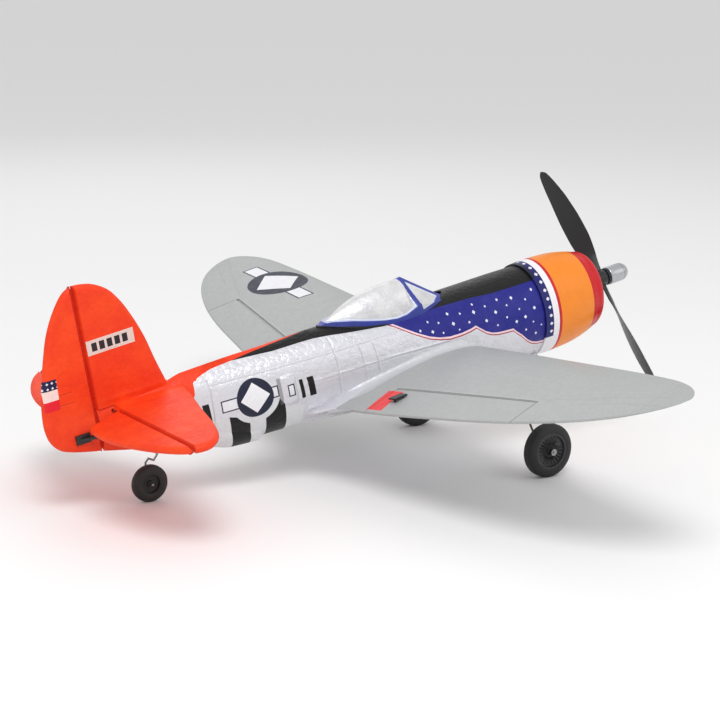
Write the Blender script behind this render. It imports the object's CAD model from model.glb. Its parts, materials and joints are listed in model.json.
import bpy, bmesh, json
import numpy as np
from math import sin, cos, tan, pi, radians, atan2, sqrt, hypot, atan
from mathutils import Vector, Matrix


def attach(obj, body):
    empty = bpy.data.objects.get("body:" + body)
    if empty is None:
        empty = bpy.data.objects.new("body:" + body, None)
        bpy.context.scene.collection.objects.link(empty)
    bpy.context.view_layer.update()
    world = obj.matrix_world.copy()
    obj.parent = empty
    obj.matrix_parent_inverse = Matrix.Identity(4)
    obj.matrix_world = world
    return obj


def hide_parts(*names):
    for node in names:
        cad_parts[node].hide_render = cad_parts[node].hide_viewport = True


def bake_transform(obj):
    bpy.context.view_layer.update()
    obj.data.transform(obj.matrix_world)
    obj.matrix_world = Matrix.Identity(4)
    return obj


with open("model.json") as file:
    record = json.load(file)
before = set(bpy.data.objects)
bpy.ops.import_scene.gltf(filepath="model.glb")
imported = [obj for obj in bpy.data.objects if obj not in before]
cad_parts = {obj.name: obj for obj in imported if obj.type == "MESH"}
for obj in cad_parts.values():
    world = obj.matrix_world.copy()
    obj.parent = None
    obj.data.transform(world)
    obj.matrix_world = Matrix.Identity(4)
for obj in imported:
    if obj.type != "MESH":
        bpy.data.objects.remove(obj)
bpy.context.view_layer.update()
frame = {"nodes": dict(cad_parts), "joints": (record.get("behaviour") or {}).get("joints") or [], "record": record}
NODES, REC = frame["nodes"], frame["record"]
J = {j["name"]: j for j in frame["joints"]}

# --------------------------------------------------------------------------
# airframe axes (mm): x forward on the thrust line, y to port, z up, origin at
# the front of the propeller hub; the row frame is pitched nose-up from these
# --------------------------------------------------------------------------
_ax = J["prop_spin"]["axis"]
TH = atan2(_ax[2], _ax[0])
ORG = np.array(J["prop_spin"]["pos_m"])
EX = np.array([cos(TH), 0, sin(TH)]); EY = np.array([0, 1.0, 0]); EZ = np.array([-sin(TH), 0, cos(TH)])


def row(P):
    P = np.asarray(P, float)
    return (P[..., 0:1] * EX + P[..., 1:2] * EY + P[..., 2:3] * EZ) / 1000 + ORG


def back(p):
    d = (np.asarray(p, float) - ORG) * 1000
    return np.array([d @ EX, d @ EY, d @ EZ])


def rowdir(v):
    return v[0] * EX + v[1] * EY + v[2] * EZ


# ------------------------------------------------------------------ numbers
def pchip(xs, ys, x):
    xs = np.asarray(xs, float); ys = np.asarray(ys, float); x = np.asarray(x, float)
    h = np.diff(xs); d = np.diff(ys) / h
    m = np.zeros_like(ys)
    for k in range(1, len(xs) - 1):
        if d[k - 1] * d[k] > 0:
            w1, w2 = 2 * h[k] + h[k - 1], h[k] + 2 * h[k - 1]
            m[k] = (w1 + w2) / (w1 / d[k - 1] + w2 / d[k])
    m[0], m[-1] = d[0], d[-1]
    i = np.clip(np.searchsorted(xs, x) - 1, 0, len(h) - 1)
    t = np.clip((x - xs[i]) / h[i], 0, 1)
    return ((2 * t**3 - 3 * t**2 + 1) * ys[i] + (t**3 - 2 * t**2 + t) * h[i] * m[i]
            + (-2 * t**3 + 3 * t**2) * ys[i + 1] + (t**3 - t**2) * h[i] * m[i + 1])


def sstep(a, b, x):
    t = np.clip((np.asarray(x, float) - a) / (b - a), 0, 1)
    return t * t * (3 - 2 * t)


def curve_pts(pts, n=400):
    """Dense smooth polyline through points (centripetal Catmull-Rom)."""
    P = np.asarray(pts, float)
    P = np.vstack([2 * P[0] - P[1], P, 2 * P[-1] - P[-2]])
    out = []
    for k in range(1, len(P) - 2):
        p0, p1, p2, p3 = P[k - 1], P[k], P[k + 1], P[k + 2]
        t0 = 0; t1 = t0 + np.linalg.norm(p1 - p0) ** 0.5; t2 = t1 + np.linalg.norm(p2 - p1) ** 0.5; t3 = t2 + np.linalg.norm(p3 - p2) ** 0.5
        for t in np.linspace(t1, t2, max(6, n // (len(P) - 3)), endpoint=False):
            a1 = (t1 - t) / (t1 - t0) * p0 + (t - t0) / (t1 - t0) * p1
            a2 = (t2 - t) / (t2 - t1) * p1 + (t - t1) / (t2 - t1) * p2
            a3 = (t3 - t) / (t3 - t2) * p2 + (t - t2) / (t3 - t2) * p3
            b1 = (t2 - t) / (t2 - t0) * a1 + (t - t0) / (t2 - t0) * a2
            b2 = (t3 - t) / (t3 - t1) * a2 + (t - t1) / (t3 - t1) * a3
            out.append((t2 - t) / (t2 - t1) * b1 + (t - t1) / (t2 - t1) * b2)
    out.append(P[-2])
    return np.array(out)


# ------------------------------------------------------------- mesh helpers
def to_obj(name, V, F, mat, sharp=32):
    me = bpy.data.meshes.new(name)
    me.from_pydata([tuple(p) for p in row(np.asarray(V, float))], [], [tuple(int(i) for i in f) for f in F])
    me.validate()
    bm = bmesh.new(); bm.from_mesh(me)
    bmesh.ops.remove_doubles(bm, verts=bm.verts, dist=2e-7)
    bmesh.ops.dissolve_degenerate(bm, edges=bm.edges, dist=1e-7)
    bmesh.ops.recalc_face_normals(bm, faces=bm.faces)
    bm.to_mesh(me); bm.free()
    for p in me.polygons:
        p.use_smooth = True
    me.set_sharp_from_angle(angle=radians(sharp))
    ob = bpy.data.objects.new(name, me)
    bpy.context.scene.collection.objects.link(ob)
    for m in (mat if isinstance(mat, (list, tuple)) else [mat]):
        me.materials.append(m)
    return ob


def grid_faces(nu, nv, wrap_v=False, off=0):
    F = []
    for i in range(nu - 1):
        for j in range(nv if wrap_v else nv - 1):
            k = (j + 1) % nv
            F.append((off + i * nv + j, off + i * nv + k, off + (i + 1) * nv + k, off + (i + 1) * nv + j))
    return F


def loft_rings(rings, cap0=True, cap1=True):
    """Closed loft of rings, each (nv, 3); ends closed with fans."""
    R = np.asarray(rings, float); nu, nv = R.shape[:2]
    V = R.reshape(-1, 3).tolist(); F = grid_faces(nu, nv, True)
    if cap0:
        V.append(R[0].mean(0).tolist()); c = len(V) - 1
        F += [(c, (j + 1) % nv, j) for j in range(nv)]
    if cap1:
        V.append(R[-1].mean(0).tolist()); c = len(V) - 1; o = (nu - 1) * nv
        F += [(c, o + j, o + (j + 1) % nv) for j in range(nv)]
    return V, F


def lathe(profile, centre, axis, n=96, start=0.0):
    """Revolve (a, r) points, a along axis; profile is a closed or pole-to-pole list."""
    ax = np.array(axis, float); ax /= np.linalg.norm(ax)
    h = np.array([0, 0, 1.0]) if abs(ax[2]) < 0.9 else np.array([1.0, 0, 0])
    e1 = np.cross(ax, h); e1 /= np.linalg.norm(e1); e2 = np.cross(ax, e1)
    c = np.array(centre, float)
    V, F = [], []
    idx = []
    for (a, r) in profile:
        if r < 1e-6:
            idx.append([len(V)] * n); V.append(c + ax * a)
        else:
            s = len(V); idx.append(list(range(s, s + n)))
            for k in range(n):
                t = start + 2 * pi * k / n
                V.append(c + ax * a + (e1 * cos(t) + e2 * sin(t)) * r)
    for i in range(len(profile) - 1):
        A, B = idx[i], idx[i + 1]
        for k in range(n):
            m = (k + 1) % n
            f = [A[k], A[m], B[m], B[k]]
            g = []
            for q in f:
                if q not in g:
                    g.append(q)
            if len(g) > 2:
                F.append(g)
    return V, F


def merge(*parts):
    V, F = [], []
    for v, f in parts:
        o = len(V); V += [list(map(float, p)) for p in v]; F += [[i + o for i in q] for q in f]
    return V, F


def mirror_part(V, F):
    W = np.asarray(V, float).copy(); W[:, 1] *= -1
    return W, [tuple(reversed(tuple(f))) for f in F]


def boolean(ob, cutters, op="DIFFERENCE"):
    for c in cutters:
        m = ob.modifiers.new("b", "BOOLEAN"); m.operation = op; m.object = c; m.solver = "EXACT"
        try:
            m.material_mode = "INDEX"
        except Exception:
            pass
    bpy.context.view_layer.update()
    dg = bpy.context.evaluated_depsgraph_get()
    me = bpy.data.meshes.new_from_object(ob.evaluated_get(dg))
    old = ob.data; ob.modifiers.clear(); ob.data = me
    bpy.data.meshes.remove(old)
    return ob


def drop(*obs):
    for o in obs:
        me = o.data
        bpy.data.objects.remove(o)
        bpy.data.meshes.remove(me)


def bevel(ob, width, seg=3, angle=30):
    m = ob.modifiers.new("bv", "BEVEL"); m.width = width / 1000; m.segments = seg; m.limit_method = "ANGLE"; m.angle_limit = radians(angle)
    m.harden_normals = False
    return ob


def place(ob, body, slot, *nodes):
    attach(ob, body)
    if nodes:
        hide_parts(*nodes)
    return ob


# ==========================================================================
# shape tables of the airframe (mm, airframe axes)
# ==========================================================================
FUSE = np.array([
    (-303.4, 20.8, -0.2, 2.6, 10.4), (-288.0, 21.6, -4.6, 5.0, 9.0), (-270.0, 22.3, -10.2, 7.6, 6.8),
    (-250.0, 22.8, -15.7, 10.2, 4.6), (-230.0, 23.1, -18.2, 12.7, 3.4), (-205.0, 24.0, -19.6, 15.4, 2.2),
    (-178.0, 24.4, -22.6, 17.8, 0.8), (-150.0, 23.2, -25.2, 19.8, -0.6), (-125.0, 22.3, -26.9, 20.9, -1.6),
    (-100.0, 22.0, -27.8, 21.3, -2.2), (-75.0, 22.1, -27.6, 20.9, -2.5), (-57.5, 21.9, -26.9, 20.1, -2.4)])
COWL = [(-57.4, 21.1, 25.2, -2.3), (-48.9, 21.4, 25.7, -2.4), (-36.0, 20.9, 25.2, -2.4), (-23.2, 18.9, 23.0, -2.4),
        (-16.5, 16.4, 20.3, -2.3), (-13.2, 13.6, 17.2, -2.2)]
WING_Z0, WING_DIH, WING_INC = -5.015, tan(0.11176), 0.0401
WING = np.array([
    (8.0, -93.2, -203.2, 0.125), (16.0, -95.2, -200.2, 0.112),
    (24.0, -100.2, -191.2, 0.098), (60.0, -100.8, -187.2, 0.094), (95.0, -101.9, -181.0, 0.090),
    (117.0, -102.5, -176.8, 0.088), (139.0, -103.1, -171.0, 0.086), (160.0, -104.2, -163.0, 0.086),
    (175.0, -105.6, -155.0, 0.086), (185.0, -108.2, -147.4, 0.088), (193.0, -112.4, -138.6, 0.094),
    (198.0, -117.2, -130.6, 0.120), (200.0, -120.2, -126.4, 0.190)])
STAB_Z, STAB_T, ELEV_X, RUD_X, FIN_T = 18.2, 4.0, -296.0, -304.0, 4.4
STAB_OUT = [(4.0, -258.2), (10.0, -260.4), (23.0, -264.0), (38.0, -268.3), (63.0, -275.0), (76.5, -280.4),
            (82.2, -285.2), (84.2, -289.5), (83.4, -294.2), (81.2, -297.8), (77.8, -301.2),
            (72.0, -305.0), (61.0, -310.2), (50.0, -313.8), (37.5, -316.2), (24.5, -316.4),
            (18.6, -315.0), (15.2, -311.6), (12.6, -306.0), (10.4, -300.6), (8.6, -296.0)]
FIN_OUT = [(-266.2, 23.6), (-269.6, 35.0), (-272.8, 47.3), (-276.9, 58.3), (-281.3, 67.2),
           (-286.3, 73.9), (-293.2, 78.3), (-299.0, 79.8), (-304.0, 80.2)]
RUD_OUT = [(-304.0, 80.2), (-308.7, 77.6), (-314.9, 70.0), (-319.7, 61.2), (-323.6, 50.0),
           (-326.5, 39.8), (-328.8, 29.4), (-329.6, 18.5), (-328.0, 11.6), (-324.4, 7.0), (-319.6, 4.5),
           (-306.2, 0.7), (-303.0, 0.2)]
CANOPY = [(-105.2, 21.2, 1.6), (-112.0, 25.2, 7.4), (-120.0, 30.4, 10.8), (-129.5, 35.4, 11.8),
          (-137.0, 36.1, 12.0), (-145.0, 35.9, 11.8), (-155.0, 34.6, 10.6), (-165.0, 31.8, 8.2),
          (-173.0, 28.2, 5.0), (-179.0, 25.3, 1.8)]
PROP_R, PROP_PARK, PROP_PITCH = 68.5, 35.9, 92.0
W_C = back(J["wheel_left_spin"]["pos_m"])
TW_C = back(J["tail_wheel_spin"]["pos_m"])
AIL_P = back(J["aileron_left_hinge"]["pos_m"])
_a = np.array(J["aileron_left_hinge"]["axis"], float)
AIL_A = np.array([_a @ EX, _a @ EY, _a @ EZ])
AIL_Y0, AIL_Y1 = 43.0, 136.5
BEV = tan(radians(12.5))
GROOVE = 0.60          # the moulded V is opened wider towards the skin


def ail_x(y):
    return AIL_P[0] + AIL_A[0] / AIL_A[1] * (np.asarray(y, float) - AIL_P[1])


def fuse_par(x):
    return [pchip(FUSE[:, 0], FUSE[:, k], x) for k in range(1, 5)]


def wing_par(y):
    a = np.abs(y)
    if np.max(a) <= 24.001:
        return [np.interp(a, WING[:, 0], WING[:, k]) for k in (1, 2, 3)]
    T = WING[2:]
    return [pchip(T[:, 0], T[:, k], a) for k in (1, 2, 3)]


def wing_z(x, y, side, tip=1.0):
    """Upper (side +1) or lower (-1) wing surface, or mean line (0)."""
    a = abs(y)
    le, te, tr = [float(v) for v in wing_par(np.array([a]))[0:3]] if False else [float(np.ravel(v)[0]) for v in wing_par(np.array([a]))]
    c = le - te
    s = min(max((le - x) / c, 0.0), 1.0)
    fat = 1.0
    t = 5 * tr * c * (0.2969 * sqrt(s) - 0.1260 * s - 0.3516 * s * s + 0.2843 * s**3 - 0.1015 * s**4) * fat + 0.55 * s * min(1.0, c / 40.0)
    cam = 0.02 * c * (1 - ((s - 0.4) / 0.6) ** 2) if s > 0.4 else 0.02 * c * (1 - ((0.4 - s) / 0.4) ** 2)
    return WING_Z0 + WING_DIH * a + WING_INC * x + cam + side * t * tip


# --------------------------------------------------------- fuselage surface
def rect_mask(x, z, x0, x1, z0, z1, r, w):
    """1 inside a rounded rectangle, falling to 0 over w."""
    dx = np.maximum(np.abs(x - (x0 + x1) / 2) - (x1 - x0) / 2 + r, 0)
    dz = np.maximum(np.abs(z - (z0 + z1) / 2) - (z1 - z0) / 2 + r, 0)
    d = np.hypot(dx, dz) - r
    return 1 - sstep(-w, w * 0.2, d)


def fuse_height(x, y, z, zc):
    """Moulded detail on the fuselage, mm outwards."""
    h = np.zeros_like(x)
    side = sstep(2.0, 6.0, np.abs(y))
    for (xc, z0, z1, k) in ((-182.3, -6.0, 21.0, 0.04), (-168.3, -2.0, 14.3, 0.0), (-160.6, -1.0, 14.3, 0.0), (-248.9, -14.0, 19.0, 0.05)):
        xx = xc + k * (z - 8)
        h -= 0.17 * np.exp(-((x - xx) / 0.5) ** 2) * sstep(z0 - 1, z0 + 1, z) * (1 - sstep(z1 - 1, z1 + 1, z)) * side
    zl = np.interp(x, [-248, -199, -182, -168, -148, -124, -104], [3.6, 4.8, 4.5, 4.6, 4.5, 3.4, 2.4])
    h += 0.30 * np.exp(-((z - zl) / 0.5) ** 2) * sstep(-203, -198, x) * (1 - sstep(-118, -108, x)) * side
    h -= 0.08 * np.exp(-((z - zl + 0.9) / 0.45) ** 2) * sstep(-203, -198, x) * (1 - sstep(-118, -108, x)) * side
    zu = np.interp(x, [-250, -211, -185, -167, -142, -128], [16.0, 14.9, 14.4, 14.3, 14.5, 15.0])
    h -= 0.09 * np.exp(-((z - zu) / 0.45) ** 2) * sstep(-249, -246, x) * (1 - sstep(-136, -131, x)) * side
    # access door
    o = rect_mask(x, z, -153.2, -146.4, 9.9, 12.2, 0.6, 0.5) - rect_mask(x, z, -152.4, -147.2, 10.6, 11.5, 0.3, 0.4)
    h -= 0.2 * o * side
    # raised shutter panel and the notch behind it
    h += 0.75 * rect_mask(x, z, -213.4, -205.9, -3.4, 11.2, 1.6, 0.9) * side
    h -= 0.35 * rect_mask(x, z, -215.6, -213.5, -3.0, 11.0, 0.6, 0.6) * side
    # belly hood, open to the rear
    low = 1 - sstep(-1.0, 0.2, (z - zc) / 20)
    lip = np.clip(1 - (y / 8.6) ** 2, 0, 1) ** 0.6
    h += 2.1 * lip * sstep(-253, -240, x) * (1 - sstep(-225.6, -224.9, x)) * (z < zc)
    return h


def fuse_ring(x, n, half=True, grow=0.0, detail=True):
    zt, zb, w, zc = [float(v) for v in fuse_par(np.array([x]))] if False else [float(np.ravel(v)[0]) for v in fuse_par(np.array([x]))]
    a = np.linspace(0, pi, n)
    y = (w + grow) * np.sin(a)
    rz = np.where(np.cos(a) >= 0, zt - zc, zc - zb) + grow
    z = zc + rz * np.cos(a)
    ny, nz = np.sin(a) / (w + grow), np.cos(a) / rz
    L = np.hypot(ny, nz); ny, nz = ny / L, nz / L
    X = np.full_like(y, x)
    if detail:
        h = fuse_height(X, y, z, zc)
        # razor-back spine
        sp = (1.9 - 1.1 * sstep(-235, -205, x)) * sstep(-268, -258, x) * (1 - sstep(-190, -176, x))
        z = z + sp * np.clip(1 - np.abs(y) / 5.2, 0, 1) ** 1.15 * (np.cos(a) > 0)
        y = y + ny * h; z = z + nz * h
        y[0] = y[-1] = 0.0
    return np.stack([X, np.maximum(y, 0), z], -1)


def stations(a, b, step, extra=()):
    xs = list(np.linspace(a, b, int(round(abs(b - a) / step)) + 1))
    for e in extra:
        xs += [v for v in e if min(a, b) < v < max(a, b)]
    xs = sorted(set(round(float(v), 3) for v in xs), reverse=a > b)
    out = [xs[0]]
    for v in xs[1:]:
        if abs(v - out[-1]) > 0.08:
            out.append(v)
    return out


def foil_ring(y, le, te, tr, fat=1.0, n=40, tip=1.0, hinge=None, gap=0.0, rear=False, drop=0.0):
    """Section loop at |y| = y. hinge = x of the hinge: the part ahead of it (or
    behind it, rear=True) is kept, with the bevel of the moulded groove."""
    c = le - te
    a = y

    def zz(x, side):
        s = min(max((le - x) / c, 0.0), 1.0)
        t = (5 * tr * c * (0.2969 * sqrt(s) - 0.1260 * s - 0.3516 * s * s + 0.2843 * s**3 - 0.1015 * s**4) * fat + 0.55 * s * min(1.0, c / 40.0)) * tip
        cam = 0.02 * c * (1 - ((s - 0.4) / 0.6) ** 2) if s > 0.4 else 0.02 * c * (1 - ((0.4 - s) / 0.4) ** 2)
        return WING_Z0 + WING_DIH * a + WING_INC * x + cam + side * t
    zte = (0.55 * min(1.0, c / 40.0) + 0.0105 * tr * c) * tip
    xr = te + zte * 0.9
    P = []
    if hinge is None:
        u = 0.5 * (1 - np.cos(np.linspace(0, pi, n)))
        xs = le + (xr - le) * u
        P += [(x, zz(x, 1)) for x in xs[::-1]]
        P += [(x, zz(x, -1)) for x in xs[1:]]
        mz = (zz(xr, 1) + zz(xr, -1)) / 2; h = (zz(xr, 1) - zz(xr, -1)) / 2
        P += [(xr - h * sin(t) * 0.9, mz - h * cos(t)) for t in np.linspace(0, pi, 9)[1:-1]]
    elif not rear:
        h = (zz(hinge, 1) - zz(hinge, -1)) / 2
        xa = hinge + gap; xb = hinge + gap + h * BEV
        u = 0.5 * (1 - np.cos(np.linspace(0, pi, n))); xs = le + (xb - le) * u
        P += [(x, zz(x, 1)) for x in xs[::-1]]
        P += [(x, zz(x, -1)) for x in xs[1:]]
        m = (zz(xa, 1) + zz(xa, -1)) / 2
        zu, zl = zz(xb, 1), zz(xb, -1)
        tl = [(xb + (xa - xb) * k, zl + (m - zl) * k) for k in (0.15, 0.5, 0.85, 1.0)]
        tu = [(xb + (xa - xb) * k, zu + (m - zu) * k) for k in (0.85, 0.5, 0.15)]
        P += tl + tu
    else:
        h = (zz(hinge, 1) - zz(hinge, -1)) / 2
        xa = hinge - gap; xb = hinge - gap - h * BEV
        xs = xb + (xr - xb) * (1 - np.cos(np.linspace(0, pi, n))) / 2
        P += [(x, zz(x, 1)) for x in xs]
        mz = (zz(xr, 1) + zz(xr, -1)) / 2; hh = (zz(xr, 1) - zz(xr, -1)) / 2
        P += [(xr - hh * sin(t) * 0.9, mz + hh * cos(t)) for t in np.linspace(0, pi, 9)[1:-1]]
        P += [(x, zz(x, -1)) for x in xs[::-1]]
        m = (zz(xa, 1) + zz(xa, -1)) / 2
        zu, zl = zz(xb, 1), zz(xb, -1)
        P += [(xb + (xa - xb) * k, zl + (m - zl) * k) for k in (0.15, 0.5, 0.85, 1.0)]
        P += [(xb + (xa - xb) * k, zu + (m - zu) * k) for k in (0.85, 0.5, 0.15)]
    P = np.array(P)
    return np.stack([P[:, 0], np.full(len(P), y), P[:, 1] - drop], -1)


def wing_at(y):
    le, te, tr = [float(np.ravel(v)[0]) for v in wing_par(np.array([y]))]
    tip = 1.0
    if y > 196.5:
        tip = sqrt(max(0.0, 1 - ((y - 196.5) / 3.5) ** 2)) * 0.94 + 0.06
    return le, te, tr, tip


# ==========================================================================
# procedural materials: small expression helper over shader nodes
# ==========================================================================
class X:
    """A shader value that can be used in ordinary arithmetic."""

    def __init__(self, t, s):
        self.t, self.s = t, s

    def op(self, o, a, b=None, c=None):
        n = self.t.nodes.new("ShaderNodeMath"); n.operation = o
        for i, v in enumerate((a, b, c)):
            if v is None:
                continue
            if isinstance(v, X):
                self.t.links.new(v.s, n.inputs[i])
            else:
                n.inputs[i].default_value = float(v)
        return X(self.t, n.outputs[0])

    def __add__(s, o): return s.op("ADD", s, o)
    def __radd__(s, o): return s.op("ADD", o, s)
    def __sub__(s, o): return s.op("SUBTRACT", s, o)
    def __rsub__(s, o): return s.op("SUBTRACT", o, s)
    def __mul__(s, o): return s.op("MULTIPLY", s, o)
    def __rmul__(s, o): return s.op("MULTIPLY", o, s)
    def __truediv__(s, o): return s.op("DIVIDE", s, o)
    def __neg__(s): return s.op("MULTIPLY", s, -1.0)
    def __gt__(s, o): return s.op("GREATER_THAN", s, o)
    def __lt__(s, o): return s.op("LESS_THAN", s, o)
    def abs(s): return s.op("ABSOLUTE", s)
    def max(s, o): return s.op("MAXIMUM", s, o)
    def min(s, o): return s.op("MINIMUM", s, o)
    def sqrt(s): return s.op("SQRT", s)
    def pow(s, o): return s.op("POWER", s, o)
    def mod(s, o): return s.op("FLOORED_MODULO", s, o)
    def clamp(s): return s.op("MINIMUM", s.op("MAXIMUM", s, 0.0), 1.0)
    def inv(s): return 1.0 - s


class Mat:
    def __init__(self, name):
        m = bpy.data.materials.new(name)
        m.use_nodes = True
        self.m, self.t = m, m.node_tree
        self.t.nodes.clear()
        self.out = self.t.nodes.new("ShaderNodeOutputMaterial")
        self.b = self.t.nodes.new("ShaderNodeBsdfPrincipled")
        self.t.links.new(self.b.outputs[0], self.out.inputs[0])
        tc = self.t.nodes.new("ShaderNodeTexCoord")
        sub = self.t.nodes.new("ShaderNodeVectorMath"); sub.operation = "SUBTRACT"
        self.t.links.new(tc.outputs["Object"], sub.inputs[0]); sub.inputs[1].default_value = tuple(ORG)
        comb = self.t.nodes.new("ShaderNodeCombineXYZ")
        self.c = []
        for k, e in enumerate((EX, EY, EZ)):
            d = self.t.nodes.new("ShaderNodeVectorMath"); d.operation = "DOT_PRODUCT"
            self.t.links.new(sub.outputs[0], d.inputs[0]); d.inputs[1].default_value = tuple(e * 1000)
            self.c.append(X(self.t, d.outputs["Value"]))
            self.t.links.new(d.outputs["Value"], comb.inputs[k])
        self.v = comb.outputs[0]
        self.x, self.y, self.z = self.c

    def link(self, name, val):
        s = self.b.inputs[name]
        if isinstance(val, X):
            self.t.links.new(val.s, s)
        elif hasattr(val, "is_output"):
            self.t.links.new(val, s)
        elif isinstance(val, (tuple, list)):
            s.default_value = tuple(val) + ((1,) if len(val) == 3 else ())
        else:
            s.default_value = float(val)

    def scaled(self, sx=1.0, sy=1.0, sz=1.0, off=(0, 0, 0)):
        n = self.t.nodes.new("ShaderNodeMapping")
        self.t.links.new(self.v, n.inputs[0]); n.inputs["Scale"].default_value = (sx, sy, sz); n.inputs["Location"].default_value = off
        return n.outputs[0]

    def noise(self, scale, detail=3, rough=0.55, vec=None, off=0.0):
        n = self.t.nodes.new("ShaderNodeTexNoise")
        v = vec
        if v is None:
            v = self.scaled(off=(off, off * 0.7, off * 1.3)) if off else self.v
        self.t.links.new(v, n.inputs["Vector"])
        n.inputs["Scale"].default_value = scale; n.inputs["Detail"].default_value = detail; n.inputs["Roughness"].default_value = rough
        return X(self.t, n.outputs["Fac"])

    def voronoi(self, scale, feature="F1", out="Distance", smooth=None, vec=None, rnd=1.0):
        n = self.t.nodes.new("ShaderNodeTexVoronoi"); n.feature = feature
        self.t.links.new(vec or self.v, n.inputs["Vector"])
        n.inputs["Scale"].default_value = scale; n.inputs["Randomness"].default_value = rnd
        if smooth is not None:
            n.inputs["Smoothness"].default_value = smooth
        return X(self.t, n.outputs[out])

    def cellval(self, scale):
        n = self.t.nodes.new("ShaderNodeTexVoronoi"); n.feature = "F1"
        self.t.links.new(self.v, n.inputs["Vector"]); n.inputs["Scale"].default_value = scale
        sp = self.t.nodes.new("ShaderNodeSeparateColor"); self.t.links.new(n.outputs["Color"], sp.inputs[0])
        return X(self.t, sp.outputs[0])

    def ramp(self, x, pts, smooth=False):
        """Piecewise curve y(x) through points."""
        xs = [p[0] for p in pts]; ys = [p[1] for p in pts]
        x0, x1, y0, y1 = min(xs), max(xs), min(ys), max(ys)
        if y1 - y0 < 1e-9:
            y1 = y0 + 1
        n = self.t.nodes.new("ShaderNodeFloatCurve")
        mp = n.mapping; mp.use_clip = False; cu = mp.curves[0]
        P = sorted(((a - x0) / (x1 - x0), (b - y0) / (y1 - y0)) for a, b in pts)
        while len(cu.points) < len(P):
            cu.points.new(0.5, 0.5)
        for k, (a, b) in enumerate(P):
            cu.points[k].location = (a, b); cu.points[k].handle_type = "AUTO" if smooth else "VECTOR"
        mp.extend = "HORIZONTAL"; mp.update()
        self.t.links.new(((x - x0) / (x1 - x0)).clamp().s, n.inputs["Value"])
        return X(self.t, n.outputs[0]) * (y1 - y0) + y0

    def mix(self, f, a, b):
        n = self.t.nodes.new("ShaderNodeMix"); n.data_type = "RGBA"; n.clamp_factor = True
        if isinstance(f, X):
            self.t.links.new(f.s, n.inputs[0])
        else:
            n.inputs[0].default_value = f
        for k, v in ((6, a), (7, b)):
            if isinstance(v, (tuple, list)):
                n.inputs[k].default_value = tuple(v[:3]) + (1,)
            else:
                self.t.links.new(v, n.inputs[k])
        return n.outputs[2]

    def shade(self, col, f):
        """Multiply a colour by a value."""
        n = self.t.nodes.new("ShaderNodeMix"); n.data_type = "RGBA"; n.blend_type = "MULTIPLY"; n.inputs[0].default_value = 1
        if isinstance(col, (tuple, list)):
            n.inputs[6].default_value = tuple(col[:3]) + (1,)
        else:
            self.t.links.new(col, n.inputs[6])
        c = self.t.nodes.new("ShaderNodeCombineColor")
        for k in range(3):
            self.t.links.new(f.s, c.inputs[k])
        self.t.links.new(c.outputs[0], n.inputs[7])
        return n.outputs[2]

    def bump(self, height, dist_mm, strength=1.0, normal=None):
        n = self.t.nodes.new("ShaderNodeBump")
        n.inputs["Distance"].default_value = dist_mm / 1000; n.inputs["Strength"].default_value = strength
        self.t.links.new(height.s, n.inputs["Height"])
        if normal is not None:
            self.t.links.new(normal, n.inputs["Normal"])
        return n.outputs[0]

    # shape masks
    def between(self, v, a, b):
        return (v > a) * (v < b)

    def box2(self, u, v, u0, u1, v0, v1):
        return self.between(u, u0, u1) * self.between(v, v0, v1)

    def disc(self, u, v, cu, cv, r):
        a = u - cu; b = v - cv
        return (a * a + b * b) < (r * r)

    def diamond(self, u, v, cu, cv, ru, rv):
        return ((u - cu).abs() / ru + (v - cv).abs() / rv) < 1.0

    def line(self, d, w):
        """1 on d = 0 falling to 0 at |d| = w."""
        return (1.0 - d.abs() / w).clamp()


def srgb(r, g, b):
    f = lambda v: (v / 255 / 12.92) if v / 255 <= 0.04045 else ((v / 255 + 0.055) / 1.055) ** 2.4
    return (f(r), f(g), f(b))


def over(m, base, items):
    for f, c in items:
        base = m.mix(f, base, c)
    return base


def foam_finish(m, col, rough=0.42, metal=0.0, bead=2.7, bead_h=0.10, grain=0.05, lines=None, coat=0.12, mottle=0.06, crumple=0.3, spec=0.5):
    """Painted bead foam: domed beads pressed flat against the mould, fine
    pits between them, slight mottling of the paint and of its gloss."""
    b1 = m.voronoi(1.0 / bead, "SMOOTH_F1", smooth=0.25)
    edge = m.voronoi(1.0 / bead, "DISTANCE_TO_EDGE")
    cell = m.cellval(1.0 / bead)
    dome = (1.0 - b1 * b1 * 1.6).clamp()
    seam = (edge / 0.10).clamp()
    fine = m.noise(1.6, 3, 0.6)
    big = m.noise(0.05, 2, 0.5, off=31.0)
    pits = (m.voronoi(1.0 / 1.1, "F1", rnd=1.0) / 0.34).clamp()
    patch = ((m.noise(0.11, 2, 0.5, off=11.0) - 0.42) * 4.0).clamp()
    h = dome * 0.45 + seam * 0.35 * (0.35 + patch * 0.65) + cell * 0.18
    cr = m.noise(0.22, 3, 0.62, off=41.0) * 0.6 + m.voronoi(0.24, "SMOOTH_F1", smooth=0.5, vec=m.scaled(0.8, 1.2, 1.2)) * 0.4
    n0 = m.bump(cr, crumple, 1.0)
    n1 = m.bump(h, bead_h, 1.0, n0)
    n2 = m.bump(fine * 0.8 + pits * 0.25 * patch, grain, 1.0, n1)
    if lines is not None:
        n2 = m.bump(lines, 0.30, 1.0, n2)
    shade = 1.0 - mottle * (1.0 - seam) * (0.4 + patch) - mottle * 0.8 * (big - 0.5) - mottle * 0.5 * (cell - 0.5)
    c = m.shade(col, shade)
    m.link("Base Color", c)
    m.link("Roughness", (rough + (fine - 0.5) * 0.12 + (cell - 0.5) * 0.08 + (1.0 - seam) * 0.08).clamp())
    m.link("Metallic", metal)
    m.link("Coat Weight", coat)
    m.link("Coat Roughness", 0.28)
    m.link("Specular IOR Level", spec)
    m.t.links.new(n2, m.b.inputs["Normal"])
    return m.m


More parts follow.
